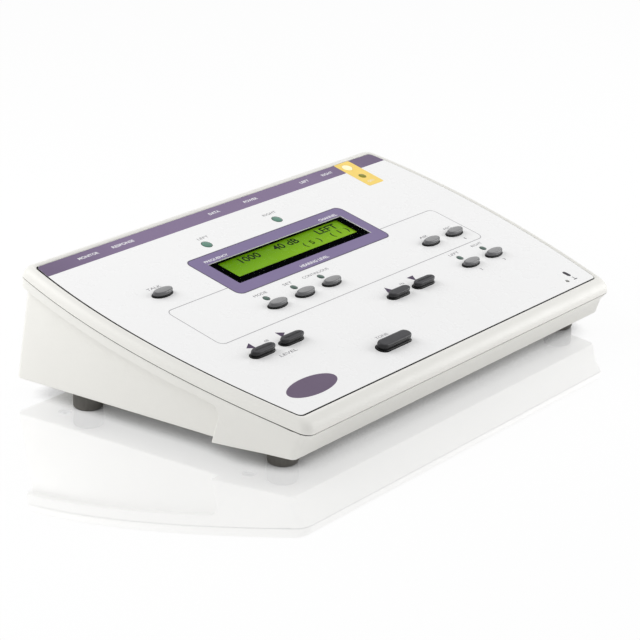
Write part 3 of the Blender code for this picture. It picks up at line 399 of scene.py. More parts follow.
def white_sheet():
    made = finish("white sheet", (252, 252, 252), (0.5, 0.6), None, 0.004, 2, gloss=0.2)
    tree = made.node_tree
    matt = tree.nodes["Principled BSDF"].outputs["BSDF"]
    where = add(tree, "TexCoord").outputs["Object"]
    sheen = use(tree, POLISH, where, smoothest=0.02, roughest=0.05, patches_per_metre=3.0)
    mirror = {"Base Color": (1, 1, 1, 1), "Metallic": 0.72, "IOR": 2.1, "Roughness": sheen}
    polished = add(tree, "BsdfPrincipled", mirror).outputs["BSDF"]
    # Painted shadow: the occlusion dims the painted light close under the object.
    near = add(tree, "AmbientOcclusion", {"Distance": PAINTED_SHADOW_REACH}, samples=8).outputs["AO"]
    away = add(tree, "MapRange", {"Value": near, "From Min": 0.1, "From Max": 0.36})
    lit = add(tree, "Emission", {"Strength": away.outputs["Result"]}).outputs["Emission"]
    seen = add(tree, "MixShader", {"Fac": PAINTED_LIGHT_SHARE, 1: polished, 2: lit}).outputs["Shader"]
    eye = add(tree, "LightPath").outputs["Is Camera Ray"]
    both = add(tree, "MixShader", {"Fac": eye, 1: matt, 2: seen}).outputs["Shader"]
    fill(tree, tree.nodes["Material Output"], {"Surface": both})
    return made


floor.data.materials.append(white_sheet())
print("floor", floor.data.materials[0].name)

# %% [markdown]
# ## The window and the display glass
# The window is a clear slab, so it is nearly see-through and only darkens what lies under it a
# little. The liquid crystal glass is yellow green with painted light and shade: lighter at the
# right front, and darker to the rear as a painted shadow of the frame. Its colours follow the
# panel's own plane, so the Object coordinates are turned to that plane first.

# %% Window and display glass
GLASS_ENDS, GLASS_ROWS = (-0.045, 0.046), (0.0965, 0.1105)
GLASS_LIT_FRONT = ((124, 176, 31), (142, 190, 38))
GLASS_SHADED_REAR = ((98, 149, 4), (118, 168, 22))


def clear_window():
    made, tree, shader, where = new_material("clear window")
    haze = spread(tree, noise(tree, where, 50, 4), 0.006, 0.016)
    sheen = use(tree, POLISH, where, smoothest=0.05, roughest=0.12, patches_per_metre=70.0)
    fill(tree, shader, {"Alpha": haze, "Roughness": sheen})
    fill(tree, shader, {"Base Color": (0.02, 0.03, 0.02, 1), "Specular IOR Level": 0.02})
    made.diffuse_color = (0.8, 0.85, 0.8, 0.3)
    return made


def ramp(tree, value, span, first, last):
    """Colour that goes softly from first to last as the value crosses a span."""
    inputs = {"Value": value, "From Min": span[0], "From Max": span[1]}
    share = add(tree, "MapRange", inputs, interpolation_type="SMOOTHSTEP")
    return blend(tree, share.outputs["Result"], first, last)


def display_green():
    made, tree, shader, where = new_material("liquid crystal glass")
    turned = add(tree, "Mapping", {
        "Vector": where, "Location": [v / 1000 for v in PANEL_FRONT], "Rotation": (PANEL_TILT, 0, 0)
    }, vector_type="TEXTURE").outputs["Vector"]
    parts = add(tree, "SeparateXYZ", {"Vector": turned}).outputs
    # Painted light and shade: lighter lit colours at the front, darker shaded colours at the rear.
    front, rear = [
        ramp(tree, parts["X"], GLASS_ENDS, *((*linear(*colour), 1) for colour in pair))
        for pair in (GLASS_LIT_FRONT, GLASS_SHADED_REAR)
    ]
    body = ramp(tree, parts["Y"], GLASS_ROWS, front, rear)
    sheen = use(tree, POLISH, turned, smoothest=0.2, roughest=0.3, patches_per_metre=200.0)
    fill(tree, shader, {"Base Color": body, "Roughness": sheen, "Specular IOR Level": 0.02})
    made.diffuse_color = (*linear(110, 165, 30), 1)
    return made


WINDOW_CLEAR = clear_window()
CRYSTAL = display_green()
print("clear and green", WINDOW_CLEAR.name, CRYSTAL.name)

# %% [markdown]
# ## Lamp lenses
# The lenses are smooth tinted plastic. One lamp is shown lit: it keeps the same recipe and
# gives a little warm light of its own, too weak to light the label beside it.

# %% Lens finishes


def lens_finish(name, colour, tone, patches, gloss):
    return finish(name, colour, (0.12, 0.2), (900, 0.000004), tone, patches, gloss=gloss)


def glowing_lens():
    made = lens_finish("glowing lamp lens", (252, 240, 196), 0.05, 300, 0.5)
    tree = made.node_tree
    where = add(tree, "TexCoord").outputs["Object"]
    light, deep = (1, 0.97, 0.72, 1), (1, 0.9, 0.55, 1)
    warm = use(tree, TONE, where, colour=light, darker_colour=deep, patches_per_metre=300.0)
    shader = tree.nodes["Principled BSDF"]
    fill(tree, shader, {"Emission Color": warm, "Emission Strength": 0.16})
    return made


LENS_TEAL = lens_finish("teal lamp lens", (86, 136, 118), 0.2, 300, 0.4)
LENS_MIST = lens_finish("misty lamp lens", (78, 106, 96), 0.3, 500, 0.4)
LENS_OLIVE = lens_finish("green lamp lens", (142, 139, 22), 0.2, 300, 0.2)
LENS_GLOW = glowing_lens()
print("lenses", LENS_TEAL.name, LENS_MIST.name, LENS_OLIVE.name, LENS_GLOW.name)

# %% [markdown]
# ## Wires
# Nearly every piece here is a skin over a few closed wires: the case's rings, a key's ovals, a
# plate with its holes. A wire starts as a square or a circle of bmesh and is stretched to its
# outline. A square's corners are then rounded by a vertex bevel, which gives a true arc, where
# a list of points worked out by hand would have to find each tangent itself.

# %% Wire helpers


def fresh(bm, before):
    return [edge for edge in bm.edges if edge not in before]


def outline_wire(bm, half_at, front, rear, radius, height, cuts=22, steps=8):
    """Closed wire with straight ends, sides that follow half_at(y), and four round corners."""
    before = set(bm.edges)
    square = bmesh.ops.create_grid(bm, x_segments=1, y_segments=1, size=1)["verts"]
    bmesh.ops.delete(bm, geom=square[0].link_faces[:], context="FACES_ONLY")
    sides = [e for e in fresh(bm, before) if abs(e.verts[0].co.x - e.verts[1].co.x) < 0.5]
    bmesh.ops.subdivide_edges(bm, edges=sides, cuts=cuts)
    points = {v for e in fresh(bm, before) for v in e.verts}
    ends = [[v for v in points if abs(v.co.y - end) < 0.0001] for end in (-1, 1)]
    for v in points:
        y = front + (rear - front) * (v.co.y + 1) / 2
        v.co = Vector((v.co.x * half_at(y), y, height))
    for pair in ends:
        near, far = [e.other_vert(pair[0]).co - pair[0].co for e in pair[0].link_edges]
        offset = radius / math.tan(near.angle(far) / 2)
        bmesh.ops.bevel(
            bm, geom=pair, offset=offset, offset_type="OFFSET", segments=steps,
            profile=0.5, affect="VERTICES", material=-1,
        )
    return fresh(bm, before)


def moved(bm, wire, by):
    bmesh.ops.translate(bm, verts=list({v for e in wire for v in e.verts}), vec=by)
    return wire


def box_wire(bm, centre, size, radius, height, steps=5):
    """Rounded rectangle about a centre."""
    (x, y), (width, depth) = centre, size
    front, rear = y - depth / 2, y + depth / 2
    wire = outline_wire(bm, lambda _: width / 2, front, rear, radius, height, 1, steps)
    return moved(bm, wire, (x, 0, 0))


def oval_wire(bm, oval, centre, height, count=48):
    """Oval with two straight sides along x: (half its straight part, half width, half depth)."""
    before = set(bm.edges)
    turn = Matrix.Rotation(math.pi / count, 4, "Z")
    circle = bmesh.ops.create_circle(bm, cap_ends=False, radius=1, segments=count, matrix=turn)
    for v in circle["verts"]:
        x = oval[1] * v.co.x + math.copysign(oval[0], v.co.x)
        v.co = Vector((centre[0] + x, centre[1] + oval[2] * v.co.y, height))
    return fresh(bm, before)


def round_wire(bm, radius, centre, height, count=48):
    return oval_wire(bm, (0, radius, radius), centre, height, count)


bm = bmesh.new()
print("edges of a rounded box", len(box_wire(bm, (0, 0), (10, 6), 1, 0)))
bm.free()

# %% [markdown]
# ## Skins and plates
# Bridging the wires in turn makes a wall, and filling the last one closes it. Two wires that
# follow each other never lie level inside one another, because a bridge between level rings can
# run crosswise. A flat plate takes an outline and its holes, each given as a function that
# draws it at any height. When a piece is done it is closed, taken to the table and put on its
# body of the frame.

# %% Skins, plates and settling
WELD = 0.0005


def bridge(bm, wires):
    for near, far in zip(wires, wires[1:]):
        bmesh.ops.bridge_loops(bm, edges=near + far)


def cap(bm, *wires):
    """Fills the flat area inside the first wire and outside the others."""
    edges = [edge for wire in wires for edge in wire]
    bmesh.ops.triangle_fill(bm, use_beauty=True, use_dissolve=False, edges=edges)


def skin(bm, wires):
    bridge(bm, wires)
    cap(bm, wires[0])
    cap(bm, wires[-1])


def box(centre, size, radius, steps=5):
    return lambda bm, z: box_wire(bm, centre, size, radius, z, steps)


def disc(centre, radius):
    return lambda bm, z: round_wire(bm, radius, centre, z, 32)


def plate(bm, shapes, low, high):
    """Flat plate: the first shape is its outline and the others are its holes."""
    lows = [shape(bm, low) for shape in shapes]
    highs = [shape(bm, high) for shape in shapes]
    for pair in zip(lows, highs):
        bridge(bm, pair)
    cap(bm, *lows)
    cap(bm, *highs)


def settle(name, bm, place, material, body="case", stands_for=None, sharp=30):
    """Closes a piece, takes it to the table and puts it on its body of the frame."""
    bmesh.ops.remove_doubles(bm, verts=bm.verts[:], dist=WELD)
    bmesh.ops.recalc_face_normals(bm, faces=bm.faces[:])
    bmesh.ops.transform(bm, matrix=place, verts=bm.verts[:])
    mesh = bpy.data.meshes.new(name)
    bm.to_mesh(mesh)
    open_edges = sum(1 for edge in bm.edges if len(edge.link_faces) != 2)
    bm.free()
    mesh.shade_smooth()
    mesh.set_sharp_from_angle(angle=math.radians(sharp))
    mesh.materials.append(material)
    obj = bpy.data.objects.new(name, mesh)
    bpy.context.scene.collection.objects.link(obj)
    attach(obj, body)
    if stands_for:
        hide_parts(stands_for)
    print(name, len(mesh.polygons), "faces,", open_edges, "open edges")
    return obj


print("points closer than", WELD, "mm are merged")

# %% [markdown]
# ## Where the keys and lamps are
# The keys stand on a grid of ten columns, twenty millimetres apart, and four rows. An oval is
# given as half its straight part, half its width and half its depth, and a lamp as its place
# and radius.

# %% Keys and lamps
COLUMNS = [-90.6 + 20 * i for i in range(10)]
ROWS = {"tone": 16.3, "level": 43.8, "mode": 68.6, "talk": 103.6}
ROUND, LEVEL, TONE_BAR = (0, 6.3, 2.8), (3.8, 4.0, 2.45), (7.9, 3.6, 3.3)

KEYS = {
    "round_key_1": (COLUMNS[0], ROWS["talk"], ROUND),
    "tone_key": (COLUMNS[3], ROWS["tone"], TONE_BAR),
}
ROUND_SPOTS = [(column, "mode") for column in (2, 3, 4, 8, 9)] + [(8, "level"), (9, "level")]
for number, (column, row) in enumerate(ROUND_SPOTS, 2):
    KEYS[f"round_key_{number}"] = (COLUMNS[column], ROWS[row], ROUND)
for number, column in enumerate((0, 1, 5, 6), 1):
    KEYS[f"level_key_{number}"] = (COLUMNS[column], ROWS["level"], LEVEL)

LAMPS = {
    "response_lamp": (98.3, 145.6, 2.8),
    "power_lamp": (98.3, 135.3, 2.0),
    "channel_lamp_1": (-35.6, 125.6, 2.5),
    "channel_lamp_2": (16.7, 125.6, 2.5),
}
LIT_KEYS = [(2, "mode"), (3, "mode"), (4, "mode"), (8, "level"), (9, "level")]
for number, (column, row) in enumerate(LIT_KEYS, 1):
    LAMPS[f"key_lamp_{number}"] = (COLUMNS[column], ROWS[row] + 6.8, 1.5)
print("keys", len(KEYS), "lamps", len(LAMPS))

# %% [markdown]
# ## The holes of the panel
# The label and the deck below it are punched with the same holes, a few tenths wider than what
# comes up through them, so that nothing rubs. Only the window's opening differs: the deck
# leaves a ledge for it that the label covers.

# %% Holes
KEY_GAP = 0.3
LAMP_GAP = 0.15
MICROPHONE = (100.2, 6.0)
MICROPHONE_HOLE = 1.2
WINDOW = (-0.4, 101.55)
WINDOW_SIZE = (100, 19.5)
WINDOW_CORNER = 0.4


def window_hole(wider):
    size = (WINDOW_SIZE[0] + wider, WINDOW_SIZE[1] + wider)
    return box(WINDOW, size, WINDOW_CORNER)


def key_hole(x, y, straight, across, along):
    oval = (straight, across + KEY_GAP, along + KEY_GAP)
    return lambda bm, z: oval_wire(bm, oval, (x, y), z)


def lamp_hole(name, gap=LAMP_GAP):
    x, y, radius = LAMPS[name]
    return disc((x, y), radius + gap)


def panel_holes(window_wider):
    """All holes of the panel: keys, lamps, microphone and window."""
    shapes = [key_hole(x, y, *oval) for x, y, oval in KEYS.values()]
    shapes += [lamp_hole(name) for name in LAMPS]
    return shapes + [disc(MICROPHONE, MICROPHONE_HOLE), window_hole(window_wider)]


print("holes", len(panel_holes(0)))

# %% [markdown]
# ## The upper case
# The rim is the part that catches the light: it leaves the parting line upright, turns over in a
# soft crown and ends at the groove round the label. A tongue below it reaches into the lower
# case. All of it is one skin over rings, from the underside of the deck out round the tongue and
# over the rim to the deck's top, and the deck is then filled round its holes. The crown is a
# quarter of a superellipse, a little fuller than a circle.

# %% Upper case
DECK_TOP, DECK_UNDER = -0.8, -2.9
GROOVE, GROOVE_CORNER = 0.4, 3.4
RIM_SIDE, RIM_FRONT, RIM_REAR, RIM_CORNER = 4.8, 7.6, 4.6, 5.5
CROWN_LOW, CROWN_HIGH = -4.7, 0.5
CROWN_POWER, CROWN_STEPS = 2.15, 14
RIM_FOOT = (1 - 0.15 / RIM_SIDE, -4.8)
WINDOW_LEDGE = 4.6
TONGUE = (
    (3.9, DECK_UNDER), (2.8, DECK_UNDER - 1.1), (2.8, -7.0), (1.6, -6.9), (1.6, -4.85),
)
GROOVE_WALL = (
    (0.25, 0.49), (0.17, 0.45), (0.1, 0.37), (0.05, 0.25), (0.02, 0.12), (0, 0), (0, DECK_TOP),
)


def crown_wire(bm, share, height):
    """Between the groove at the label's edge, share 0, and the outside of the rim, share 1."""
    half_at = lambda y: label_half(y) + GROOVE + RIM_SIDE * share
    front, rear = -GROOVE - RIM_FRONT * share, LABEL_DEPTH + GROOVE + RIM_REAR * share
    corner = GROOVE_CORNER + (RIM_CORNER - GROOVE_CORNER) * share
    return outline_wire(bm, half_at, front, rear, corner, height)


def rim_wire(bm, inset, height):
    """The outside of the rim, set in by the same amount all round."""
    half_at = lambda y: label_half(y) + GROOVE + RIM_SIDE - inset
    front, rear = -GROOVE - RIM_FRONT + inset, LABEL_DEPTH + GROOVE + RIM_REAR - inset
    return outline_wire(bm, half_at, front, rear, RIM_CORNER - inset, height)


def crown_rings():
    """(share, height) of the rings that turn the crown over, down to its inner slope."""
    turns = [math.pi / 2 * step / CROWN_STEPS for step in range(CROWN_STEPS + 1)]
    rings = [[wave(turn) ** (2 / CROWN_POWER) for wave in (math.cos, math.sin)] for turn in turns]
    rise = CROWN_HIGH - CROWN_LOW
    return [(share, CROWN_LOW + rise * lift) for share, lift in rings if share > 0.3]


def upper_case():
    bm = bmesh.new()
    rings = [rim_wire(bm, inset, height) for inset, height in TONGUE]
    for share, height in (RIM_FOOT, *crown_rings(), *GROOVE_WALL):
        rings.append(crown_wire(bm, share, height))
    bridge(bm, rings)
    holes = panel_holes(WINDOW_LEDGE)
    tops = [hole(bm, DECK_TOP) for hole in holes]
    unders = [hole(bm, DECK_UNDER) for hole in holes]
    for pair in zip(tops, unders):
        bridge(bm, pair)
    cap(bm, rings[-1], *tops)
    cap(bm, rings[0], *unders)
    settle("upper_case_fine", bm, ON_PANEL, CASE, stands_for="upper_case")


upper_case()

# %% [markdown]
# ## Softened copies
# Where a solid of the frame has the right shape already, a merged copy of it is taken, its flat
# areas are joined again, and a fine bevel breaks its edges as a mould does. Some edges may be
# rounded first, with a wider radius: the border of that strip is then kept sharp, so that the
# flat faces beside it stay flat to the light.

# %% Softened copies
SHARP_ANGLE = math.radians(30)
FLAT_ANGLE = math.radians(0.3)
MERGE = 0.000002
LONG_EDGE = 0.005
SLIVER_AREA = 0.000002


def join_slivers(bm, edges):
    """Joins the thin slivers that touch some edges of a side wall with the large faces there."""
    ends = {v for edge in edges for v in edge.verts}
    thin = [
        edge for edge in {e for v in ends for e in v.link_edges} - set(edges)
        if len(edge.link_faces) == 2 and edge.calc_length() > LONG_EDGE
        and all(abs(face.normal.x) > 0.9 for face in edge.link_faces)
        and min(face.calc_area() for face in edge.link_faces) < SLIVER_AREA
    ]
    bmesh.ops.dissolve_edges(bm, edges=thin, use_verts=False)
    bm.normal_update()


def round_edges(bm, edges, radius):
    """Rounds some edges, and returns the border of the rounded strip."""
    join_slivers(bm, edges)
    made = bmesh.ops.bevel(
        bm, geom=edges, offset=radius, offset_type="OFFSET", segments=4, profile=0.5,
        affect="EDGES", clamp_overlap=False, material=-1,
    )
    strip = set(made["faces"])
    rim = {edge for face in strip for edge in face.edges}
    return [edge for edge in rim if sum(face in strip for face in edge.link_faces) == 1]


def softened_copy(node, material, width, segments=2, first=None):
    """first is (function that finds edges, radius) for edges that are rounded before the rest."""
    bm = bmesh.new()
    bm.from_mesh(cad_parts[node].data)
    bmesh.ops.remove_doubles(bm, verts=bm.verts[:], dist=MERGE)
    bmesh.ops.dissolve_limit(bm, angle_limit=FLAT_ANGLE, verts=bm.verts[:], edges=bm.edges[:])
    bm.normal_update()
    border = round_edges(bm, first[0](bm), first[1]) if first else []
    for edge in bm.edges:
        edge.smooth = len(edge.link_faces) == 2 and edge.calc_face_angle() < SHARP_ANGLE
    for edge in border:
        edge.smooth = False
    for face in bm.faces:
        face.smooth = True
    mesh = bpy.data.meshes.new(node + "_fine")
    bm.to_mesh(mesh)
    bm.free()
    mesh.materials.append(material)
    obj = bpy.data.objects.new(node + "_fine", mesh)
    bpy.context.scene.collection.objects.link(obj)
    broken = obj.modifiers.new("broken edges", "BEVEL")
    broken.width = width
    broken.segments = segments
    broken.limit_method = "ANGLE"
    broken.angle_limit = SHARP_ANGLE
    broken.harden_normals = True
    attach(obj, "case")
    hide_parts(node)
    print(obj.name, len(mesh.polygons), "faces,", len(border), "border edges")


print("edges over", round(math.degrees(SHARP_ANGLE)), "degrees are broken")

# %% [markdown]
# ## The lower case
# The lower shell is flush with the rim at the front, and steps back under a lip along its sides
# and rear, where hands lift it and the leads leave. The front corner of that step in each side
# wall is the one edge that is rounded first. It is found by its place and by the way its two
# faces look, in metres on the table.

# %% Lower case
STEP_ROUND = 0.0006


def beside_step(middle):
    return abs(middle.x) > 0.12 and -0.04 < middle.y < -0.0275 and middle.z > 0.0088


def step_edges(bm):
    """The outward edges that the step cuts into the side walls."""
    found = []
    for edge in bm.edges:
        middle = (edge.verts[0].co + edge.verts[1].co) / 2
        if len(edge.link_faces) == 2 and beside_step(middle):
            normals = sorted((f.normal for f in edge.link_faces), key=lambda n: abs(n.x))
            turned = normals[0].y > 0.2 and abs(normals[0].x) < 0.05 and abs(normals[1].x) > 0.65
            if turned and edge.calc_face_angle_signed(0) > 0.5:
                found.append(edge)
    print("step edges", len(found))
    return found


softened_copy("lower_case", CASE, 0.00025, first=(step_edges, STEP_ROUND))

# %% [markdown]
# ## The panel label
# A printed film covers the deck. It is one flat plate, cut with the same holes as the deck, and
# a little smaller than its seat. It was laid into the seat up against the far corner, so a hair
# of daylight is left along the front and the left.

# %% Label
LABEL_SLACK = 0.36
LABEL_SHIFT = (0.32, 0.1, 0)
LABEL_UNDER = -0.5
WINDOW_TRIM = 0.6


def film_wire(bm, height, inset=0.0):
    """The film's own outline, or one set in from it."""
    slack = LABEL_SLACK + inset
    half_at = lambda y: label_half(y) - slack
    rear, corner = LABEL_DEPTH - slack, LABEL_CORNER - slack
    return moved(bm, outline_wire(bm, half_at, slack, rear, corner, height), LABEL_SHIFT)


def panel_label():
    bm = bmesh.new()
    plate(bm, [film_wire] + panel_holes(WINDOW_TRIM), LABEL_UNDER, 0)
    settle("panel_label_fine", bm, ON_PANEL, LABEL, stands_for="label_panel")


panel_label()

# %% [markdown]
# ## The dark seams
# Two seams read as fine dark lines: the foot of the groove where the film stands off its seat,
# and the joint between the two shells, which gapes a little at the front ends of the sides. A
# real seam is dark because no light gets out of it. Here each is a thin dark body in the
# bottom of its groove, so that it reads the same in any light.

# %% Seams
SEAM_FRONT_END = (115.6, 0)
SEAM_CUT = (0.535, 0.845)
SEAM_PLAY = 0.02
SEAM_TOP = -0.03
GAPE_END = 55
PARTING_FRONT, PARTING_REAR, PARTING_CORNER = -7.65, LABEL_DEPTH + 4.65, 5.2
PARTING_RINGS = (
    (1.2, 0, -4.88), (0.33, 0.22, -4.86), (0.33, 0.29, -4.75),
    (0.33, 0.29, -5.32), (0.33, 0.22, -5.14), (1.2, 0, -5.12),
)


def halved(bm, point, across):
    """Cuts a closed shape by an upright plane, drops what lies beyond it and closes the cut."""
    geom = bm.verts[:] + bm.edges[:] + bm.faces[:]
    bmesh.ops.bisect_plane(
        bm, geom=geom, dist=0.0001, plane_co=(*point, 0), plane_no=(*across, 0), clear_outer=True
    )
    bmesh.ops.holes_fill(bm, edges=[e for e in bm.edges if e.is_boundary], sides=0)


def label_seam():
    """Runs along the front and the left only: the cut goes from corner to corner."""
    bm = bmesh.new()
    seat = lambda bm, z: crown_wire(bm, -SEAM_PLAY / RIM_SIDE, z)
    film = lambda bm, z: film_wire(bm, z, -SEAM_PLAY)
    plate(bm, [seat, film], DECK_TOP + SEAM_PLAY, SEAM_TOP)
    halved(bm, SEAM_FRONT_END, SEAM_CUT)
    settle("label_seam", bm, ON_PANEL, SHADE)


def parting_seam():
    """A closed ring of (inset, gape, height) outlines, in the joint all round."""
    bm = bmesh.new()

    def ring(inset, gape, height):
        opened = lambda y: gape * (1 - min(max(y / GAPE_END, 0), 1))
        half_at = lambda y: label_half(y) + GROOVE + RIM_SIDE - inset + opened(y)
        return outline_wire(bm, half_at, PARTING_FRONT, PARTING_REAR, PARTING_CORNER, height)

    rings = [ring(*row) for row in PARTING_RINGS]
    bridge(bm, rings + rings[:1])
    settle("parting_seam", bm, ON_PANEL, SHADE)


label_seam()
parting_seam()

# %% [markdown]
# ## Fields of ink
# The bands, the violet field round the display and the marks are ink, so each is a film a few
# hundredths of a millimetre thick on the label: thick enough to be a clean shape of its own,
# too thin to cast a shadow. Where ink lies over ink, the upper one is a little higher. The
# violet field has a fine darker edge, and a plum oval fills the near left corner.

# %% Fields of ink
INK = 0.02
BAND_START = 141.7
FIELD = (-1.35, 101.35)
OVAL, OVAL_SPOT = (0, 16.0, 6.15), (-92.75, 13.6)


def film(name, shapes, layer, material):
    """A film of ink in a layer over the label, as one piece."""
    bm = bmesh.new()
    plate(bm, shapes, layer * INK, (layer + 1) * INK)
    settle(name, bm, ON_PANEL, material)


def rear_band():
    bm = bmesh.new()
    plate(bm, [lambda bm, z: film_wire(bm, z, 0.03), lamp_hole("response_lamp")], 0, INK)
    halved(bm, (0, BAND_START), (0, -1))
    settle("ink_rear_band", bm, ON_PANEL, INK_BAND)


rear_band()
field = [box(FIELD, (115.9, 34.9), 3.8, 10), window_hole(WINDOW_TRIM)]
film("ink_display_field", field, 1, INK_VIOLET)
edge = [box(FIELD, (116.0, 35.0), 3.85, 10), box(FIELD, (114.9, 33.9), 3.3, 10)]
film("ink_display_field_edge", edge, 2, INK_EDGE)

# %% [markdown]
# ## The line round the middle keys
# A fine grey line runs round the middle row of keys and ends at the violet field. It is drawn
# as a whole ring, cut at the two ends of the gap, and the part between the cuts is taken out.

# %% Key field line and oval
LINE_MIDDLE = (-0.45, 74.8)
LINE_GAP = (-58.7, 56.0)
LINE_REAR = 88


def key_field_line():
    bm = bmesh.new()
    ring = [box(LINE_MIDDLE, (202.4, 33.9), 3.7, 8), box(LINE_MIDDLE, (201.5, 33.0), 3.25, 8)]
    plate(bm, ring, 0, INK)
    for side, x in ((1, LINE_GAP[1]), (-1, LINE_GAP[0])):
        geom = bm.verts[:] + bm.edges[:] + bm.faces[:]
        bmesh.ops.bisect_plane(
            bm, geom=geom, dist=0.0001, plane_co=(x, 0, 0), plane_no=(side, 0, 0)
        )
    middles = {face: face.calc_center_median() for face in bm.faces}
    rear = {face: at.x for face, at in middles.items() if at.y > LINE_REAR}
    hidden = [face for face, x in rear.items() if LINE_GAP[0] < x < LINE_GAP[1]]
    bmesh.ops.delete(bm, geom=hidden, context="FACES")
    bmesh.ops.holes_fill(bm, edges=[e for e in bm.edges if e.is_boundary], sides=0)
    settle("ink_key_field_line", bm, ON_PANEL, INK_PALE)


key_field_line()
film("ink_bare_oval", [lambda bm, z: oval_wire(bm, OVAL, OVAL_SPOT, z, 64)], 0, INK_PLUM)

# %% [markdown]
# ## Painted shade and ink round the lamps
# A fine dark ring round each teal lamp is painted shade, the dark of the gap round its lens.
# The two status lamps share an amber patch, which leans a little, so only its outline is
# sheared and its two holes stay round.

# %% Painted lamp gap shade and status patch
GAP_SHADE_WIDTH = 0.36
PATCH, PATCH_SIZE, PATCH_LEAN = (98.9, 138.25), (12.5, 25.2), 0.035
PATCH_INSIDE = (5, 11)


# Painted shade round the holes of the teal lamps.
def lamp_gap_shade_rings():
    bm = bmesh.new()
    for name in LAMPS:
        if name.startswith(("key", "channel")):
            plate(bm, [lamp_hole(name, GAP_SHADE_WIDTH), lamp_hole(name)], 0, INK)
    settle("lamp_gap_painted_shade", bm, ON_PANEL, LAMP_GAP_SHADE)


def status_patch():
    bm = bmesh.new()
    holes = [lamp_hole(name) for name in ("response_lamp", "power_lamp")]
    plate(bm, [box(PATCH, PATCH_SIZE, 1.1)] + holes, INK, 2 * INK)
    for v in bm.verts:
        across, along = v.co.x - PATCH[0], v.co.y - PATCH[1]
        if abs(across) > PATCH_INSIDE[0] or abs(along) > PATCH_INSIDE[1]:
            v.co.x += along * PATCH_LEAN
    settle("ink_status_patch", bm, ON_PANEL, INK_AMBER)


lamp_gap_shade_rings()
status_patch()

# %% [markdown]
# ## Arrows and sign
# A small triangle at each level key says which way it steps: a cone of three sides and equal
# radii is just that. The sign at the talk-over microphone is a capsule on a stand, of three
# little plates.

# %% Arrows and sign
ARROWS = ((-91.1, 50.3, 90), (-70.4, 50.1, -90), (8.7, 49.1, 0), (29.3, 50.7, 180))
ARROW_RADIUS = 2.8
SIGN_X = 106.3
SIGN_PLATES = (
    (10.6, (2.4, 4.6), 1.15, 6), (6.3, (0.45, 2.2), 0.05, 1), (5.1, (2.8, 0.45), 0.05, 1),
)


def arrows():
    bm = bmesh.new()
    for x, y, turn in ARROWS:
        place = Matrix.Translation((x, y, INK / 2)) @ Matrix.Rotation(math.radians(turn), 4, "Z")
        bmesh.ops.create_cone(
            bm, cap_ends=True, cap_tris=False, segments=3, radius1=ARROW_RADIUS,
            radius2=ARROW_RADIUS, depth=INK, matrix=place,
        )
    settle("ink_arrows", bm, ON_PANEL, INK_ARROW)


def microphone_sign():
    bm = bmesh.new()
    for y, size, radius, steps in SIGN_PLATES:
        plate(bm, [box((SIGN_X, y), size, radius, steps)], 0, INK)
    settle("ink_microphone", bm, ON_PANEL, INK_SIGN)


arrows()
microphone_sign()

# %% [markdown]
# ## How words are printed
# Only plain function words and numbers are used. Each word is a text curve that is made a mesh
# first, fitted to the width it has on the panel, put in its place and given the thickness of
# the ink.

# %% Word helpers


def word_mesh(text, width, height, weight):
    """A word as a flat mesh about its middle, fitted to its size. weight thickens its strokes."""
    curve = bpy.data.curves.new(text, "FONT")
    curve.body = text
    curve.resolution_u = 3
    curve.offset = weight
    holder = bpy.data.objects.new(text, curve)
    bpy.context.scene.collection.objects.link(holder)
    shaped = holder.evaluated_get(bpy.context.evaluated_depsgraph_get())
    mesh = bpy.data.meshes.new_from_object(shaped)
    bpy.data.objects.remove(holder)
    bpy.data.curves.remove(curve)
    xs = [v.co.x for v in mesh.vertices]
    ys = [v.co.y for v in mesh.vertices]
    across = width / (max(xs) - min(xs))
    along = height / (max(ys) - min(ys))
    middle = Vector(((max(xs) + min(xs)) / 2, (max(ys) + min(ys)) / 2, 0))
    mesh.transform(Matrix.Diagonal((across, along, 1, 1)) @ Matrix.Translation(-middle))
    return mesh


def words(name, rows, level, material, weight=0.0):
    """Thin print of several words. Each row is (text, x, y, width, height)."""
    bm = bmesh.new()
    for text, x, y, width, height in rows:
        mesh = word_mesh(text, width, height, weight)
        mesh.transform(Matrix.Translation((x, y, level)))
        bm.from_mesh(mesh)
        bpy.data.meshes.remove(mesh)
    bmesh.ops.remove_doubles(bm, verts=bm.verts[:], dist=0.001)
    bmesh.ops.recalc_face_normals(bm, faces=bm.faces[:])
    made = bmesh.ops.extrude_face_region(bm, geom=bm.faces[:], use_keep_orig=True)
    raised = [g for g in made["geom"] if isinstance(g, bmesh.types.BMVert)]
    bmesh.ops.translate(bm, verts=raised, vec=(0, 0, INK))
    settle(name, bm, ON_PANEL, material)


print("a word is", INK, "mm thick")

# %% [markdown]
# ## The words
# Small capitals stand over the keys and lamps, white ones in the violet field, and in the rear
# band each word stands over its own socket, so both take their place from one list.

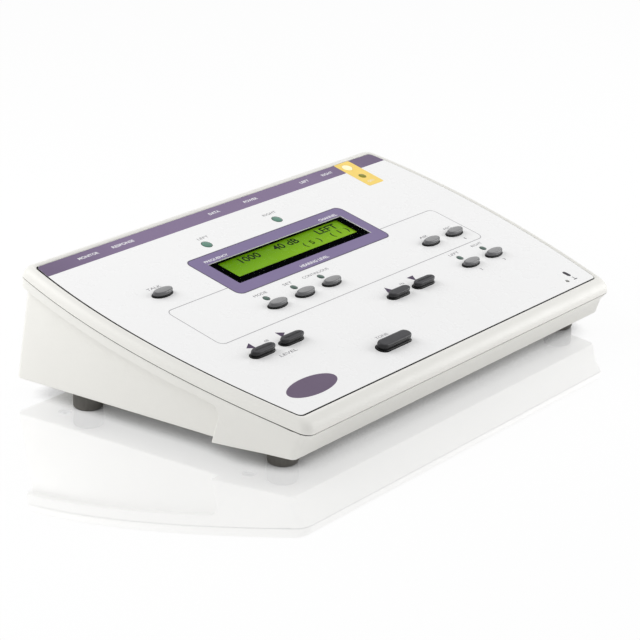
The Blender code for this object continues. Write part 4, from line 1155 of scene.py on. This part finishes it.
# %% Words
CAPITAL, FIGURE, WHITE_CAPITAL, BAND_ROW = 1.65, 1.7, 1.9, 146.4
PANEL_WORDS = [
    ("TALK", -90.0, 109.5, 9.0, CAPITAL), ("MODE", -50.3, 79.5, 9.0, CAPITAL),
    ("SET", -30.7, 79.4, 6.3, CAPITAL), ("CONTINUOUS", -10.3, 79.0, 19.0, CAPITAL),
    ("AIR", 70.7, 74.5, 6.2, CAPITAL), ("MIC", 90.7, 74.0, 5.8, CAPITAL),
    ("LEFT", 70.0, 54.9, 8.0, CAPITAL), ("RIGHT", 89.6, 54.9, 8.6, CAPITAL),
    ("1", 90.0, 62.2, 0.7, FIGURE), ("2", 69.6, 37.5, 1.3, FIGURE), ("3", 89.8, 37.6, 1.3, FIGURE),
    ("dB", -80.9, 49.8, 3.0, 1.4), ("LEVEL", -80.0, 37.5, 11.5, CAPITAL),
    ("Hz", 20.0, 49.8, 3.0, 1.4), ("TONE", -30.0, 23.6, 8.8, CAPITAL),
    ("LEFT", -32.3, 131.2, 7.4, CAPITAL), ("RIGHT", 17.7, 131.6, 9.6, CAPITAL),
]
FIELD_WORDS = [
    ("FREQUENCY", -42.3, 113.6, 16.6, WHITE_CAPITAL), ("CHANNEL", 42.0, 113.6, 14.0, WHITE_CAPITAL),
    ("HEARING LEVEL", -1.2, 86.9, 21.0, WHITE_CAPITAL),
]
SOCKETS_AT = {
    "monitor_jack": -94.5, "response_jack": -71.5, "data_socket": -6.9, "power_inlet": 20.6,
    "earphone_jack_left": 63.4, "earphone_jack_right": 82.1,
}
BAND_TEXT = (
    ("MONITOR", 13.0), ("RESPONSE", 14.5), ("DATA", 7.6), ("POWER", 10.0), ("LEFT", 6.8),
    ("RIGHT", 8.6),
)
BAND_WORDS = [
    (text, x, BAND_ROW, width, WHITE_CAPITAL)
    for (text, width), x in zip(BAND_TEXT, SOCKETS_AT.values())
]
words("words_panel", PANEL_WORDS, 0, INK_GREY)
words("words_display_field", FIELD_WORDS, 2 * INK, INK_WHITE, 0.02)
words("words_rear_band", BAND_WORDS, INK, INK_WHITE, 0.02)
words("words_status", [("ON", 98.0, 129.4, 4.6, FIGURE)], 2 * INK, INK_WHITE)

# %% [markdown]
# ## Keys
# A key is a sprung plastic cap: a stem and two ears below the deck, a base ring that fills its
# hole, and a crown that bulges out over the ring like a pebble, or stands up as a block with a
# flat top. Its skin is a stack of ovals, closest together where the crown turns over, so that
# its highlight runs smoothly. The crown's rings are given as (inset, rise), as shares of half
# the key's depth and of its height.

# %% Key profiles
SHOULDER = 0.5
STEM = ((1.8, -4.7), (1.8, -4.0))
BASE = ((0.15, -3.95, 1.3), (0.15, -3.2, 1.3), (0, -3.15, 0), (0, 0.38, 0), (-0.12, SHOULDER, 0))
PEBBLE = (
    (0.14, 0.02), (0.05, 0.12), (0.0, 0.26), (0.0, 0.40), (0.03, 0.52), (0.09, 0.63),
    (0.18, 0.73), (0.30, 0.815), (0.43, 0.875), (0.55, 0.91), (0.66, 0.93), (0.85, 0.95),
    (1.1, 0.972), (1.4, 0.99), (1.65, 1.0),
)
BLOCK = (
    (0.30, 0.04), (0.24, 0.12), (0.13, 0.24), (0.04, 0.38), (0.0, 0.52), (0.0, 0.68),
    (0.03, 0.79), (0.09, 0.87), (0.18, 0.93), (0.31, 0.97), (0.48, 0.99), (0.75, 0.998),
    (1.1, 1.0), (1.5, 1.0),
)
TOPS_AND_FLANGES = {"round": (2.6, 0.25), "level": (3.0, 0.25), "tone": (3.4, 0.35)}
print("rings of a pebble", len(PEBBLE), "of a block", len(BLOCK))

# %% [markdown]
# ## Making the keys
# One function makes all thirteen. The flank and the skirt of a key are painted darker than its
# top, as painted shade, so each face takes one of three materials by how high its middle lies.

# %% Keys
GREY = ("key_grey", KEY_GREY, KEY_GREY_SHADED_FLANK)
CHARCOAL = ("key_charcoal", KEY_CHARCOAL, KEY_CHARCOAL_SHADED_FLANK)


def key(name):
    x, y, (straight, across, along) = KEYS[name]
    top, flange = TOPS_AND_FLANGES[name.split("_")[0]]
    pebble = name.startswith("round")
    bm = bmesh.new()

    def oval(step, height, ear=0):
        shape = (straight + ear, across + step, along + step)
        return oval_wire(bm, shape, (x, y), height)

    wires = [round_wire(bm, radius, (x, y), height) for radius, height in STEM]
    wires += [oval(*ring) for ring in BASE]
    for inset, rise in PEBBLE if pebble else BLOCK:
        wires.append(oval(-flange - 0.5 * along * inset, SHOULDER + (top - SHOULDER) * rise))
    skin(bm, wires)
    for face in bm.faces:
        rise = (face.calc_center_median().z - SHOULDER) / (top - SHOULDER)
        # Painted shade: the skirt (index 2) is darkest and the flank (index 1) darker than the top.
        face.material_index = 2 if rise < 0.1 else int(rise < 0.9)
    slot, crown, flank = GREY if pebble else CHARCOAL
    made = settle(name + "_fine", bm, ON_PANEL, crown, name, name, 40)
    made.data.materials.append(flank)
    made.data.materials.append(KEY_SKIRT_SHADE)


for name in KEYS:
    key(name)

# %% [markdown]
# ## Lamps
# Each lamp is a moulded lens that comes up through the label from the main board, with a shallow
# dome, a neck and a collar at the board. A turned profile, spun round its own axis, is all it
# needs.

# %% Lamps
DOME_FOOT, DOME_RISE, DOME_STEPS = 0.05, 0.3, 8
NECK_INSET, COLLAR_TOP, LENS_FOOT = 0.5, -8.98, -10.0
LENSES = {"response": LENS_GLOW, "power": LENS_OLIVE, "channel": LENS_TEAL, "key": LENS_MIST}


def spun(bm, profile, centre, steps=32):
    """Spins a profile of (radius, height) points round an upright axis."""
    points = [bm.verts.new((centre[0] + radius, centre[1], height)) for radius, height in profile]
    edges = [bm.edges.new(pair) for pair in zip(points, points[1:])]
    bmesh.ops.spin(
        bm, geom=points + edges, cent=(*centre, 0), axis=(0, 0, 1), angle=2 * math.pi,
        steps=steps, use_merge=True,
    )


def lamp(name):
    x, y, radius = LAMPS[name]
    neck = radius - NECK_INSET
    turns = [math.pi / 2 * step / DOME_STEPS for step in range(1, DOME_STEPS + 1)]
    dome = [(0, DOME_FOOT + DOME_RISE)]
    dome += [(radius * math.sin(turn), DOME_FOOT + DOME_RISE * math.cos(turn)) for turn in turns]
    body = [(radius, DECK_UNDER), (neck, DECK_UNDER), (neck, COLLAR_TOP), (radius, COLLAR_TOP)]
    bm = bmesh.new()
    spun(bm, dome + body + [(radius, LENS_FOOT), (0, LENS_FOOT)], (x, y))
    kind = name.split("_")[0]
    settle(name + "_fine", bm, ON_PANEL, LENSES[kind], "case", name, 50)


for name in LAMPS:
    lamp(name)

# %% [markdown]
# ## The display
# Under the clear window lies a black surround, and in its opening the liquid crystal glass. Its
# characters are dark films on the glass: a frequency, a level and the ear under test, all plain
# numbers and words.

# %% Display
GLASS_TOP, GLASS_UNDER = -1.7, -5.3
GLASS_SIZE = (102.2, 21.7)
CHARACTER = 4.5
CHARACTERS = [
    ("1000", -24.3, 107.9, 14.2, CHARACTER), ("40 dB", 2.6, 107.9, 18.0, CHARACTER),
    ("LEFT", 34.2, 107.9, 15.4, CHARACTER), ("(  5  )", 16.5, 102.0, 12.6, CHARACTER),
    ("(  1  )", 38.0, 102.0, 13.0, CHARACTER),
]

bm = bmesh.new()
plate(bm, [box(WINDOW, GLASS_SIZE, WINDOW_CORNER)], GLASS_UNDER, GLASS_TOP)
settle("display_glass_fine", bm, ON_PANEL, CRYSTAL, "case", "display_glass")
words("display_characters", CHARACTERS, GLASS_TOP, GLYPH, 0.018)

# %% [markdown]
# ## Sockets
# These are bought parts, and their solids are right but for their edges, so each gets a softened
# copy. A jack and the power inlet end in a nickel ring, which is turned as a closed profile and
# spun, and the tongue of the data socket is a moulding of its own inside the plated shell. All
# are drawn looking at the rear wall, z out of it.

# %% Sockets
REAR_WALL = 78.867
SOCKET_ROW, DATA_ROW, POWER_ROW = 22.7, 21.35, 21.4
JACK_RING = ((3.3, 1.2), (3.3, 1.34), (3.42, 1.44), (4.55, 1.44), (4.7, 1.3), (4.7, 1.2))
INLET_RING = ((3.1, 0.6), (3.1, 0.74), (3.2, 0.82), (3.7, 0.82), (3.85, 0.7), (3.85, 0.6))
TONGUE_BOXES = (((5.7, 3.1), 0.25, -8.3), ((5.7, 3.1), 0.25, -0.8), ((5.3, 2.7), 0.2, -0.55))


def on_rear_wall(name, height):
    """Takes a piece of a socket to its place on the table."""
    place = Matrix.Translation((SOCKETS_AT[name], REAR_WALL, height))
    return MM @ place @ Matrix.Rotation(math.radians(-90), 4, "X")


def nickel_ring(name, height, profile):
    bm = bmesh.new()
    spun(bm, profile + profile[:1], (0, 0), 48)
    settle(name + "_ring", bm, on_rear_wall(name, height), PLATED, sharp=40)


def data_tongue():
    bm = bmesh.new()
    skin(bm, [box_wire(bm, (0, 0), size, radius, z) for size, radius, z in TONGUE_BOXES])
    settle("data_socket_tongue", bm, on_rear_wall("data_socket", DATA_ROW), SOCKET)


for name in SOCKETS_AT:
    if "jack" in name:
        softened_copy(name, SOCKET, 0.0003)
        nickel_ring(name, SOCKET_ROW, JACK_RING)
data_tongue()
softened_copy("data_socket", PLATED, 0.0002)
softened_copy("power_inlet", SOCKET, 0.0002)
nickel_ring("power_inlet", POWER_ROW, INLET_RING)

# %% [markdown]
# ## Feet and screws
# A rubber foot has a soft rim, nearly a millimetre round, where its mould closes. A screw's head
# only has its sharpest edge taken off.

# %% Feet and screws
for name in sorted(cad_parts):
    if name.startswith("foot"):
        softened_copy(name, RUBBER, 0.0008, 4)
    elif name.startswith("case_screw"):
        softened_copy(name, STEEL, 0.00012)

# %% [markdown]
# ## Carried-over pieces
# The window, its frame, the boards, the microphone and the switches have their right shape in
# the frame already. They keep it and get their finishes.

# %% Finishes of the frame's own pieces
CARRIED = {
    "display_window": WINDOW_CLEAR, "display_frame": SURROUND, "display_board": BOARD,
    "main_board": BOARD, "socket_board": BOARD, "microphone": CAPSULE,
}
CARRIED.update({name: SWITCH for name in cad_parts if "switch" in name})
for name, material in CARRIED.items():
    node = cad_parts[name]
    node.data.materials.clear()
    node.data.materials.append(material)
print("carried over", len(CARRIED))
